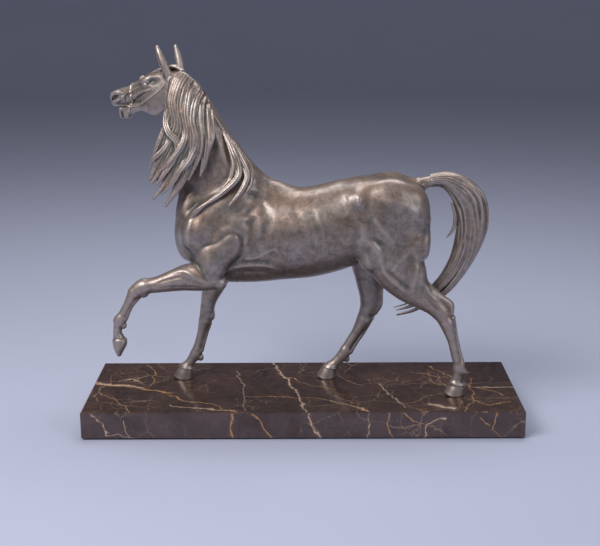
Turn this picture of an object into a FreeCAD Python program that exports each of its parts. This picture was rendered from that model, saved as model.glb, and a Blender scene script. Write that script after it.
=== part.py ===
import FreeCAD, Part
import math
import os

from FreeCAD import Vector

# Bronze horse on a marble base, in millimetres.
# +Z is up, +X runs along the base towards the tail, the near (left) side of the horse faces -Y.
# The origin is on the table, under the middle of the base. Heights in the tables below are
# measured from the base's polished top, and rise() adds the height of that top.

# ---------------------------------------------------------------- driving dimensions
BASE_LENGTH = 420.0
BASE_DEPTH = 150.0
BASE_HEIGHT = 26.0
BASE_BEVEL = 0.9
PAD_THICKNESS = 1.5
PAD_RADIUS = 9.0
PAD_INSET = 18.0
DECK = PAD_THICKNESS + BASE_HEIGHT

WALL = 3.5
LEG_SIDE = 27.0
STUD_RADIUS = 2.0
STUD_IN_HOOF = 8.0
STUD_HOLE_RADIUS = 2.5
COUNTERBORE_RADIUS = 8.0
COUNTERBORE_DEPTH = 12.0
WASHER_RADIUS = 6.0
WASHER_HOLE_RADIUS = 2.2
WASHER_THICKNESS = 1.0
NUT_ACROSS_FLATS = 7.0
NUT_THICKNESS = 3.2
STUD_PAST_NUT = 2.0

TENON_RADIUS = 3.6
TENON_LENGTH = 12.0
TAIL_TENON_RADIUS = 2.6
PIN_RADIUS = 1.1
LEG_PIN_HALF = 7.0
TAIL_PIN_HALF = 4.0
HEAD_PIN_HALF = 6.0
NECK_PIN_HALF = 16.0
NECK_FLOOR = 4.0
SPIGOT_RADIUS = 13.0
SPIGOT_BORE = 9.0
SPIGOT_LENGTH = 8.0
PLUG_RADIUS = 4.0
BELLY_PLUG_X = -10.0
BELLY_PLUG_LOW = 100.0
BELLY_PLUG_REACH = 30.0
CHEST_PLUG_X = -130.0
CHEST_PLUG_HEIGHT = 150.0
CHEST_PLUG_REACH = 30.0
HEAD_YAW = 15.0
STRAP_WIDTH = 2.6
STRAP_THICKNESS = 0.8
SECTION_POINTS = 12
FAR = 600.0

# Hoof centres on the base: name, x, y
HOOVES = {
    "off_fore": (-123.0, LEG_SIDE),
    "near_hind": (147.0, -LEG_SIDE),
    "off_hind": (23.0, LEG_SIDE),
}

# Spines: x, y, height above the deck, half-size across the spine in the XZ plane, half-size along Y.
TORSO = [
    (-119.0, 0.0, 161.0, 20.0, 9.0),
    (-113.0, 0.0, 162.0, 36.0, 19.0),
    (-100.0, 0.0, 161.0, 45.0, 26.0),
    (-80.0, 0.0, 159.0, 52.0, 30.0),
    (-50.0, 0.0, 157.0, 52.0, 33.0),
    (-20.0, 0.0, 156.0, 45.0, 36.0),
    (10.0, 0.0, 158.0, 43.5, 37.5),
    (40.0, 0.0, 166.5, 41.0, 37.0),
    (70.0, 0.0, 176.0, 36.5, 36.0),
    (95.0, 0.0, 181.0, 29.0, 32.0),
    (112.0, 0.0, 185.0, 21.0, 22.0),
    (120.0, 0.0, 186.0, 11.0, 10.0),
]
NECK = [
    (-50.0, 0.0, 160.0, 30.0, 23.0),
    (-65.0, 0.0, 184.0, 38.0, 24.0),
    (-79.0, 0.0, 208.0, 37.0, 22.0),
    (-91.0, 0.0, 233.0, 31.0, 17.5),
    (-100.0, 0.0, 255.0, 25.5, 14.0),
    (-108.0, 0.0, 277.0, 20.5, 11.5),
    (-114.0, 0.0, 296.0, 14.0, 9.5),
]
HEAD = [
    (-121.0, 0.0, 295.0, 18.0, 11.5),
    (-133.0, 0.0, 291.5, 19.5, 13.5),
    (-144.0, 0.0, 289.5, 17.5, 13.0),
    (-155.0, 0.0, 286.5, 13.0, 9.5),
    (-166.0, 0.0, 283.5, 12.0, 8.0),
    (-176.0, 0.0, 283.5, 10.5, 8.0),
    (-182.0, 0.0, 284.0, 6.0, 5.5),
]
# The neck's last stretch as the head meets it: the head's tenon points back along it.
NECK_TOP = [
    (-104.0, 0.0, 284.0, 14.0, 9.0),
    (-115.0, 0.0, 294.0, 14.0, 9.0),
    (-126.0, 0.0, 300.0, 14.0, 9.0),
]
# Shoulder and thigh masses: centre x, y, height, then radii along X, Y and Z.
SHOULDERS = [
    (-88.0, -20.0, 142.0, 21.0, 15.0, 30.0),
    (-86.0, 20.0, 142.0, 21.0, 15.0, 30.0),
]
THIGHS = [
    (88.0, -20.0, 158.0, 34.0, 16.5, 42.0),
    (84.0, 20.0, 158.0, 32.0, 16.5, 42.0),
]
NEAR_EAR = [
    (-118.0, -5.5, 303.0, 4.5, 4.0),
    (-121.5, -7.0, 311.0, 4.8, 3.8),
    (-126.0, -8.0, 320.0, 4.0, 2.8),
    (-131.0, -8.5, 330.0, 2.6, 2.0),
    (-134.5, -8.5, 336.5, 1.0, 0.8),
]
OFF_EAR = [
    (-117.0, 5.0, 303.0, 4.5, 4.0),
    (-116.5, 6.5, 311.0, 4.8, 3.8),
    (-117.0, 8.0, 320.0, 4.0, 2.8),
    (-119.0, 8.5, 330.0, 2.6, 2.0),
    (-120.5, 8.5, 336.5, 1.0, 0.8),
]
NEAR_FORELEG = [
    (-80.0, -20.0, 126.0, 13.0, 11.0),
    (-90.0, -23.0, 122.0, 14.0, 11.5),
    (-104.0, -24.5, 121.0, 13.5, 11.0),
    (-120.0, -25.0, 117.5, 11.0, 9.0),
    (-138.0, -25.0, 112.5, 8.2, 7.2),
    (-153.0, -25.5, 108.5, 8.6, 6.8),
    (-165.0, -26.0, 98.0, 5.6, 5.2),
    (-171.0, -26.0, 87.0, 4.8, 4.2),
    (-176.5, -26.0, 76.5, 6.2, 5.2),
    (-178.8, -26.0, 64.5, 4.3, 4.4),
    (-177.5, -26.0, 55.5, 7.2, 7.2),
    (-178.0, -26.0, 42.0, 2.2, 4.2),
]
OFF_FORELEG = [
    (-80.0, 17.0, 140.0, 17.0, 11.0),
    (-82.0, 21.5, 118.0, 16.0, 11.5),
    (-88.0, 24.5, 99.0, 12.5, 9.5),
    (-93.5, 25.5, 84.0, 8.6, 7.4),
    (-95.5, 26.0, 74.0, 7.4, 6.6),
    (-97.5, 26.5, 62.0, 7.6, 6.6),
    (-100.5, 26.8, 51.0, 5.2, 5.0),
    (-104.5, 27.0, 38.0, 4.8, 4.2),
    (-109.0, 27.0, 25.0, 6.4, 5.2),
    (-114.5, 27.0, 16.5, 5.4, 4.8),
    (-118.5, 27.0, 10.5, 7.2, 7.0),
    (-123.0, 27.0, 0.0, 10.0, 8.5),
]
NEAR_HINDLEG = [
    (78.0, -18.0, 163.0, 33.0, 13.0),
    (88.0, -21.0, 132.0, 27.5, 13.5),
    (103.0, -23.5, 109.0, 18.5, 11.0),
    (117.0, -25.0, 96.0, 13.0, 8.6),
    (134.0, -26.0, 83.0, 11.2, 7.4),
    (143.5, -26.5, 63.0, 5.6, 5.2),
    (147.0, -27.0, 50.0, 4.7, 4.4),
    (150.0, -27.0, 37.0, 5.2, 4.6),
    (152.0, -27.0, 27.0, 6.6, 5.4),
    (150.5, -27.0, 17.0, 5.3, 4.8),
    (149.0, -27.0, 10.5, 7.4, 7.0),
    (147.0, -27.0, 0.0, 10.0, 8.5),
]
OFF_HINDLEG = [
    (78.0, 18.0, 165.0, 32.0, 13.0),
    (70.0, 21.0, 129.0, 25.0, 13.5),
    (65.0, 24.0, 103.0, 13.0, 9.8),
    (66.0, 25.0, 87.0, 12.0, 8.6),
    (68.0, 26.0, 71.0, 11.6, 7.4),
    (60.0, 26.5, 53.0, 7.0, 5.4),
    (52.0, 27.0, 41.0, 5.2, 4.4),
    (45.0, 27.0, 30.0, 5.4, 4.6),
    (41.0, 27.0, 23.0, 6.8, 5.4),
    (33.5, 27.0, 15.5, 5.4, 4.8),
    (28.5, 27.0, 10.0, 7.4, 7.0),
    (23.0, 27.0, 0.0, 10.0, 8.5),
]
TAIL = [
    (104.0, 0.0, 199.0, 7.0, 6.5),
    (113.0, 0.0, 202.5, 6.0, 6.2),
    (124.0, 0.0, 205.0, 5.0, 5.6),
    (135.0, 0.0, 207.0, 7.5, 7.0),
    (148.0, 0.0, 202.0, 11.5, 8.5),
    (159.0, 0.0, 189.0, 14.5, 9.5),
    (164.0, 0.0, 170.0, 15.5, 10.0),
    (162.5, 0.0, 150.0, 14.0, 10.0),
    (154.0, -1.0, 127.0, 12.0, 9.5),
    (140.0, -2.0, 107.0, 10.0, 8.5),
    (121.0, -3.0, 93.0, 8.5, 7.0),
    (100.0, -3.0, 84.0, 6.5, 5.0),
    (87.0, -3.0, 78.0, 3.0, 2.5),
]
# Locks of the mane: each lies over the near side of the neck, then hangs or streams free.
MANE_LOCKS = [
    [(-111.0, -7.0, 304.0, 6.0, 3.5), (-118.0, -13.0, 280.0, 7.0, 5.0), (-125.0, -18.0, 258.0, 7.0, 5.0),
     (-133.0, -21.0, 238.0, 6.5, 4.5), (-142.0, -22.0, 214.0, 2.2, 2.0)],
    [(-107.0, -7.0, 301.0, 6.0, 3.5), (-112.0, -15.0, 270.0, 8.0, 5.0), (-120.0, -20.0, 244.0, 7.5, 5.0),
     (-129.0, -23.0, 220.0, 6.0, 4.5), (-137.0, -24.0, 199.0, 2.0, 2.0)],
    [(-100.0, -8.0, 293.0, 7.0, 3.5), (-103.0, -17.0, 262.0, 8.5, 5.0), (-110.0, -21.0, 237.0, 7.5, 5.0),
     (-119.0, -24.0, 213.0, 5.0, 4.5), (-128.0, -25.0, 193.0, 2.0, 2.0)],
    [(-92.0, -9.0, 286.0, 7.0, 3.5), (-94.0, -18.0, 258.0, 7.0, 4.5), (-98.0, -22.0, 236.0, 5.0, 4.0),
     (-103.0, -24.0, 218.0, 2.0, 2.0)],
    [(-82.0, -7.0, 272.0, 5.0, 4.0), (-68.0, -12.0, 247.0, 6.0, 5.0), (-58.0, -19.0, 226.0, 5.0, 5.0),
     (-59.0, -25.0, 206.0, 3.5, 4.0), (-69.0, -29.0, 189.0, 1.6, 2.0)],
    [(-72.0, -12.0, 250.0, 5.0, 4.0), (-66.0, -19.0, 228.0, 5.0, 4.5), (-74.0, -25.0, 207.0, 4.0, 4.0),
     (-92.0, -28.0, 188.0, 3.0, 3.5), (-108.0, -27.0, 170.0, 1.6, 2.0)],
]

CREST_ROLL = [
    (-102.0, -2.0, 304.0, 5.0, 6.0),
    (-88.0, -3.0, 287.0, 5.0, 7.0),
    (-74.0, -4.0, 262.0, 5.0, 7.5),
    (-61.0, -6.0, 240.0, 4.5, 8.0),
    (-50.0, -8.0, 225.0, 2.5, 5.0),
]

# Station at which a limb, the neck or the tail leaves the body, and at which the head leaves the neck.
BODY_SEAM = 2
HEAD_SEAM = 1


# ---------------------------------------------------------------- shape helpers
def rise(x, y, height):
    """The point at this height above the deck."""
    return Vector(x, y, DECK + height)


def oval(x, y, height, half_across, half_wide, lean):
    """A closed smooth oval whose half_across runs along a line leaning `lean` radians up from +X."""
    centre = rise(x, y, height)
    across = Vector(math.cos(lean), 0.0, math.sin(lean)) * half_across
    wide = Vector(0.0, half_wide, 0.0)
    points = []
    for step in range(SECTION_POINTS):
        turn = 2.0 * math.pi * step / SECTION_POINTS
        points.append(centre + across * math.cos(turn) + wide * math.sin(turn))
    curve = Part.BSplineCurve()
    curve.interpolate(points, PeriodicFlag=True)
    return Part.Wire([curve.toShape()])


def lean_at(stations, index):
    """The lean of a section square to the spine, from the stations on either side of it."""
    before = stations[max(index - 1, 0)]
    after = stations[min(index + 1, len(stations) - 1)]
    return math.atan2(after[2] - before[2], after[0] - before[0]) + math.pi / 2.0


def loft(stations, first=0, last=None, shrink=0.0, standing=False):
    """A solid through the ovals from `first` to `last`, each made smaller all round by `shrink`.

    A standing leg's last oval is flat on the deck.
    """
    last = len(stations) - 1 if last is None else last
    wires = []
    for index in range(first, last + 1):
        x, y, height, half_across, half_wide = stations[index]
        lean = 0.0 if standing and index == len(stations) - 1 else lean_at(stations, index)
        wires.append(oval(x, y, height, half_across - shrink, half_wide - shrink, lean))
    return Part.makeLoft(wires, True, True)


def ellipsoid(x, y, height, radius_x, radius_y, radius_z):
    """An axis-aligned ellipsoid."""
    stretch = FreeCAD.Matrix()
    stretch.scale(radius_x, radius_y, radius_z)
    stretch.move(rise(x, y, height))
    return Part.makeSphere(1.0).transformGeometry(stretch)


def seam_frame(stations, seam=BODY_SEAM):
    """The middle of a spine's seam, and the unit direction in which the loose piece leaves."""
    x, y, height = stations[seam][:3]
    lean = lean_at(stations, seam) - math.pi / 2.0
    return rise(x, y, height), Vector(math.cos(lean), 0.0, math.sin(lean))


def tenon(stations, radius=TENON_RADIUS, length=TENON_LENGTH, seam=BODY_SEAM):
    """The round tenon that a loose piece pushes back across its seam."""
    middle, direction = seam_frame(stations, seam)
    return Part.makeCylinder(radius, length, middle, direction * -1.0)


def cross_pin(stations, half_length, depth=TENON_LENGTH / 2.0, seam=BODY_SEAM):
    """The pin across a tenon, along Y."""
    middle, direction = seam_frame(stations, seam)
    start = middle - direction * depth - Vector(0.0, half_length, 0.0)
    return Part.makeCylinder(PIN_RADIUS, 2.0 * half_length, start, Vector(0, 1, 0))


def half_space(point, direction):
    """Everything on one side of a plane, as one big block."""
    block = Part.makeBox(FAR, FAR, FAR, Vector(-FAR / 2.0, -FAR / 2.0, 0.0))
    block.Placement = FreeCAD.Placement(point, FreeCAD.Rotation(Vector(0, 0, 1), direction))
    return block


def biggest(shape):
    """The largest solid of a result, so that no sliver is left beside it."""
    return max(shape.Solids, key=lambda solid: solid.Volume)


def turn_head(shape):
    """Turns the head and what it wears away from the near side, about the poll."""
    turned = shape.copy()
    turned.rotate(rise(-116.0, 0.0, 0.0), Vector(0, 0, 1), -HEAD_YAW)
    return turned


nodes = {}


# ---------------------------------------------------------------- base and its fasteners
def make_base():
    base = Part.makeBox(BASE_LENGTH, BASE_DEPTH, BASE_HEIGHT,
                        Vector(-BASE_LENGTH / 2.0, -BASE_DEPTH / 2.0, PAD_THICKNESS))
    base = base.makeChamfer(BASE_BEVEL, base.Edges)
    for x, y in HOOVES.values():
        base = base.cut(Part.makeCylinder(STUD_HOLE_RADIUS, BASE_HEIGHT, Vector(x, y, PAD_THICKNESS)))
        base = base.cut(Part.makeCylinder(COUNTERBORE_RADIUS, COUNTERBORE_DEPTH, Vector(x, y, PAD_THICKNESS)))
    return base


def hexagon(x, y, z, across_flats, height):
    corner_radius = across_flats / math.sqrt(3.0)
    corners = []
    for step in range(7):
        turn = math.radians(60.0 * step)
        corners.append(Vector(x + corner_radius * math.cos(turn), y + corner_radius * math.sin(turn), z))
    return Part.Face(Part.makePolygon(corners)).extrude(Vector(0, 0, height))


def make_fasteners(name, x, y):
    seat = PAD_THICKNESS + COUNTERBORE_DEPTH
    washer_z = seat - WASHER_THICKNESS
    nut_z = washer_z - NUT_THICKNESS
    stud_z = nut_z - STUD_PAST_NUT
    washer = Part.makeCylinder(WASHER_RADIUS, WASHER_THICKNESS, Vector(x, y, washer_z))
    nodes[name + "_washer"] = washer.cut(
        Part.makeCylinder(WASHER_HOLE_RADIUS, WASHER_THICKNESS, Vector(x, y, washer_z)))
    nut = hexagon(x, y, nut_z, NUT_ACROSS_FLATS, NUT_THICKNESS)
    nodes[name + "_nut"] = nut.cut(Part.makeCylinder(STUD_RADIUS, NUT_THICKNESS, Vector(x, y, nut_z)))
    nodes[name + "_stud"] = Part.makeCylinder(STUD_RADIUS, DECK + STUD_IN_HOOF - stud_z, Vector(x, y, stud_z))


def make_pads():
    for end, sign_x in (("front", -1.0), ("rear", 1.0)):
        for side, sign_y in (("near", -1.0), ("off", 1.0)):
            x = sign_x * (BASE_LENGTH / 2.0 - PAD_INSET)
            y = sign_y * (BASE_DEPTH / 2.0 - PAD_INSET)
            nodes[end + "_" + side + "_pad"] = Part.makeCylinder(PAD_RADIUS, PAD_THICKNESS, Vector(x, y, 0.0))


nodes["marble_base"] = make_base()
for hoof, (hoof_x, hoof_y) in HOOVES.items():
    make_fasteners(hoof, hoof_x, hoof_y)
make_pads()


# ---------------------------------------------------------------- legs
LEGS = {
    "near_foreleg": (NEAR_FORELEG, None),
    "off_foreleg": (OFF_FORELEG, "off_fore"),
    "near_hindleg": (NEAR_HINDLEG, "near_hind"),
    "off_hindleg": (OFF_HINDLEG, "off_hind"),
}


def make_leg(name, stations, hoof_name):
    leg = loft(stations, first=BODY_SEAM, standing=hoof_name is not None)
    leg = leg.fuse(tenon(stations))
    if hoof_name:
        x, y = HOOVES[hoof_name]
        leg = leg.cut(Part.makeCylinder(STUD_RADIUS, STUD_IN_HOOF, Vector(x, y, DECK)))
    nodes[name + "_pin"] = cross_pin(stations, LEG_PIN_HALF)
    nodes[name] = biggest(leg.cut(nodes[name + "_pin"]))


for leg_name, (leg_stations, standing_hoof) in LEGS.items():
    make_leg(leg_name, leg_stations, standing_hoof)


# ---------------------------------------------------------------- tail
nodes["tail_pin"] = cross_pin(TAIL, TAIL_PIN_HALF)
nodes["tail_casting"] = loft(TAIL, first=BODY_SEAM).fuse(tenon(TAIL, TAIL_TENON_RADIUS)).cut(nodes["tail_pin"])


# ---------------------------------------------------------------- head and halter
def strap(from_x, from_height, to_x, to_height):
    """A slab through the whole head along one strap's line, seen from the side."""
    run = Vector(to_x - from_x, 0.0, to_height - from_height)
    slab = Part.makeBox(run.Length, FAR, STRAP_WIDTH, Vector(0.0, -FAR / 2.0, -STRAP_WIDTH / 2.0))
    slab.Placement = FreeCAD.Placement(rise(from_x, 0.0, from_height), FreeCAD.Rotation(Vector(1, 0, 0), run))
    return slab


def turn_head(shape):
    """Turns the head and what it wears away from the near side, about the poll."""
    turned = shape.copy()
    turned.rotate(rise(HEAD[0][0], 0.0, 0.0), Vector(0, 0, 1), -HEAD_YAW)
    return turned


def make_head():
    """The head with its two ears and open mouth, and the three straps hugging it."""
    skull = loft(HEAD)
    ears = [loft(NEAR_EAR), loft(OFF_EAR)]
    mouth = strap(-190.0, 276.0, -168.0, 277.5)
    cheek_strap = strap(-119.0, 306.0, -170.0, 281.0)
    noseband = strap(-160.0, 304.0, -166.0, 266.0)
    throatlatch = strap(-123.0, 318.0, -131.0, 266.0)
    band = cheek_strap.fuse([noseband, throatlatch])
    halter = loft(HEAD, shrink=-STRAP_THICKNESS).common(band)
    halter = halter.cut([skull] + ears)
    head = skull.fuse(ears).cut(mouth)
    return turn_head(head), turn_head(halter)


head_body, halter_body = make_head()
nodes["head_pin"] = cross_pin(NECK_TOP, HEAD_PIN_HALF, seam=HEAD_SEAM)
head_tenon = tenon(NECK_TOP, seam=HEAD_SEAM)
nodes["head_casting"] = biggest(head_body.fuse(head_tenon).cut(nodes["head_pin"]))


# ---------------------------------------------------------------- neck
def make_neck():
    """The hollow neck, with a floor at its seam and a spigot down into the body."""
    middle, direction = seam_frame(NECK)
    hollow = loft(NECK, first=BODY_SEAM, last=len(NECK) - 2, shrink=WALL)
    hollow = hollow.common(half_space(middle + direction * NECK_FLOOR, direction))
    neck = loft(NECK, first=BODY_SEAM).fuse(tenon(NECK, SPIGOT_RADIUS, SPIGOT_LENGTH))
    neck = neck.cut(hollow)
    bore_start = middle + direction * (2.0 * NECK_FLOOR)
    neck = neck.cut(Part.makeCylinder(SPIGOT_BORE, FAR, bore_start, direction * -1.0))
    return biggest(neck.cut([nodes["head_casting"], nodes["head_pin"]]))


nodes["neck_pin"] = cross_pin(NECK, NECK_PIN_HALF, SPIGOT_LENGTH / 2.0)
nodes["neck_casting"] = biggest(make_neck().cut(nodes["neck_pin"]))


# ---------------------------------------------------------------- torso and its core plugs
def make_torso_solid():
    """The body before it is hollowed, with the stubs that neck, legs and tail are pinned to."""
    stubs = [loft(stations, last=BODY_SEAM) for stations, hoof_name in LEGS.values()]
    stubs.append(loft(NECK, last=BODY_SEAM))
    stubs.append(loft(TAIL, last=BODY_SEAM))
    for x, y, height, radius_x, radius_y, radius_z in SHOULDERS + THIGHS:
        stubs.append(ellipsoid(x, y, height, radius_x, radius_y, radius_z))
    body = loft(TORSO)
    for stub in stubs:
        body = body.fuse(stub)
    return body


def make_cavity():
    """The space left by the casting core: the barrel and the upper thighs, but not the neck's socket."""
    middle, direction = seam_frame(NECK)
    cavity = loft(TORSO, first=1, last=len(TORSO) - 2, shrink=WALL)
    for x, y, height, radius_x, radius_y, radius_z in THIGHS:
        cavity = cavity.fuse(ellipsoid(x, y, height, radius_x - WALL, radius_y - WALL, radius_z - WALL))
    return cavity.cut(half_space(middle - direction * (SPIGOT_LENGTH + WALL), direction))


def make_torso():
    shell = make_torso_solid().cut(make_cavity())
    for taken in ("neck_casting", "neck_pin", "tail_casting", "tail_pin"):
        shell = shell.cut(nodes[taken])
    for name in LEGS:
        shell = shell.cut(nodes[name]).cut(nodes[name + "_pin"])
    middle, direction = seam_frame(NECK)
    shell = shell.cut(Part.makeCylinder(SPIGOT_BORE, SPIGOT_LENGTH + 2.0 * WALL, middle, direction * -1.0))
    return biggest(shell)


torso_shell = make_torso()
belly_drill = Part.makeCylinder(PLUG_RADIUS, BELLY_PLUG_REACH, rise(BELLY_PLUG_X, 0.0, BELLY_PLUG_LOW))
chest_drill = Part.makeCylinder(PLUG_RADIUS, CHEST_PLUG_REACH, rise(CHEST_PLUG_X, 0.0, CHEST_PLUG_HEIGHT),
                                Vector(1, 0, 0))
nodes["belly_core_plug"] = torso_shell.common(belly_drill)
nodes["chest_core_plug"] = torso_shell.common(chest_drill)
nodes["torso_casting"] = biggest(torso_shell.cut([belly_drill, chest_drill]))


# ---------------------------------------------------------------- mane
def make_mane():
    """Every lock and the roll along the crest as one casting, seated on the neck, head and body."""
    mane = loft(CREST_ROLL)
    for lock in MANE_LOCKS:
        mane = mane.fuse(loft(lock))
    for under in ("neck_casting", "head_casting", "halter", "torso_casting"):
        mane = mane.cut(nodes[under])
    return biggest(mane)


nodes["halter"] = biggest(halter_body.cut([nodes["neck_casting"], nodes["head_casting"]]))
nodes["mane_casting"] = make_mane()

for node_name, node_shape in nodes.items():
    print(node_name, node_shape.isValid(), len(node_shape.Solids), round(node_shape.Volume, 1))
    node_shape.exportStep("parts/" + node_name + ".step")
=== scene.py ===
import math

import bmesh
import bpy
import numpy as np
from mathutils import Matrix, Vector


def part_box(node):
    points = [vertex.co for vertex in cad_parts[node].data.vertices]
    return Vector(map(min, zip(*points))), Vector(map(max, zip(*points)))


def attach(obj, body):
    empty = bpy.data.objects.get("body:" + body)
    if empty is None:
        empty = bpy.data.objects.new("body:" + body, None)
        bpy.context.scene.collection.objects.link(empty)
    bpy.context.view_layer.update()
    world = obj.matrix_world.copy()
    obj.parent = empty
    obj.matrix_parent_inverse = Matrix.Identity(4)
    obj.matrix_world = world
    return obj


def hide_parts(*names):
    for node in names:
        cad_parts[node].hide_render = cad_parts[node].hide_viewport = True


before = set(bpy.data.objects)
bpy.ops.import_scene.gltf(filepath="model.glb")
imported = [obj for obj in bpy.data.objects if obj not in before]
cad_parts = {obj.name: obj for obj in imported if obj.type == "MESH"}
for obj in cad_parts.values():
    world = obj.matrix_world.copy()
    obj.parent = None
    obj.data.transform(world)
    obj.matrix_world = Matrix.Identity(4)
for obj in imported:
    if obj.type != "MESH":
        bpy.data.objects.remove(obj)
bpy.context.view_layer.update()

import openvdb
from mathutils import Matrix, Vector

# The castings are modelled as clay: signed distance fields on grids, in millimetres, with x and y as
# in the frame and z measured up from the top of the marble. Muscles, bones and locks are added with
# smooth joins, grooves are carved, and the surface is taken off as a mesh and set down in the frame.
MM = 0.001
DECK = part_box("marble_base")[1].z
# What a field holds where no clay is near, and how many voxels from the skin it is kept to when meshed.
FAR = 60.0
BAND_VOXELS = 3.0
NEAR_SIDE = -1.0
OFF_SIDE = 1.0
# How broad the recesses are that the two marks pick up.
HOLLOW_REACH = 1.7
FOLD_REACH = 4.5
# A line is drawn only on a side that the block of clay reaches at least this far out to.
SIDE_REACH = 12.0
# Rows that a curve is cut into for each row given.
LIMB_STEPS = 8
DRAWN_STEPS = 6
LINE_STEPS = 5
CORD_STEPS = 4
# Spans of a long cord that are added in one small window.
SPANS_AT_ONCE = 8
# Shares that a smoothing step moves in and then back out.
RELAX_IN = 0.55
RELAX_OUT = 0.45
# A soft line: how far it reaches in half-widths, how fast its ends fade in and what is left at its tips,
# and how far from the middle plane it starts and over how much it comes up to its full height.
RELIEF_REACH = 2.6
RELIEF_FADE = 5.0
RELIEF_TIP = 0.15
RELIEF_START = 3.0
RELIEF_RISE = 6.0
# A drawn line: how fast its ends swell, what is left at its tips, and how many of its points are averaged.
DRAWN_SWELL = 4.0
DRAWN_TIP = 0.25
DRAWN_AVERAGE = 5
# A lock: how its ridges wander from row to row, and the half-width below which they get shallower.
RIDGE_DRIFT = 0.35
RIDGE_HALF_WIDTH = 2.5
CUT_TOLERANCE = 1e-7


# ------------------------------------------------------------------ clay
def smooth_min(first, second, blend):
    """The union of two fields, rounded over `blend` millimetres."""
    overlap = np.maximum(blend - np.abs(first - second), 0.0)
    return np.minimum(first, second) - overlap * overlap / (4.0 * blend)


def smooth_max(first, second, blend):
    """The intersection of two fields, rounded over `blend` millimetres."""
    return -smooth_min(-first, -second, blend)


def oval_distance(parts):
    """Roughly the distance to an ellipsoid, from pairs of (offset, radius)."""
    ratio = np.sqrt(sum((offset / radius) ** 2 for offset, radius in parts))
    steep = np.sqrt(sum((offset / radius ** 2) ** 2 for offset, radius in parts))
    return ratio * (ratio - 1.0) / np.maximum(steep, 1e-6)


def smooth_rows(rows, per_span):
    """Rows of numbers passed through a Catmull-Rom curve, `per_span` rows for each row given."""
    rows = np.array(rows, float)
    padded = np.vstack([2.0 * rows[0] - rows[1], rows, 2.0 * rows[-1] - rows[-2]])
    result = []
    for index in range(len(rows) - 1):
        p0, p1, p2, p3 = padded[index:index + 4]
        for step in range(per_span):
            t = step / per_span
            result.append(0.5 * (2.0 * p1 + (p2 - p0) * t + (2.0 * p0 - 5.0 * p1 + 4.0 * p2 - p3) * t * t
                                 + (3.0 * p1 - p0 - 3.0 * p2 + p3) * t ** 3))
    result.append(rows[-1])
    return np.array(result)


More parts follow.
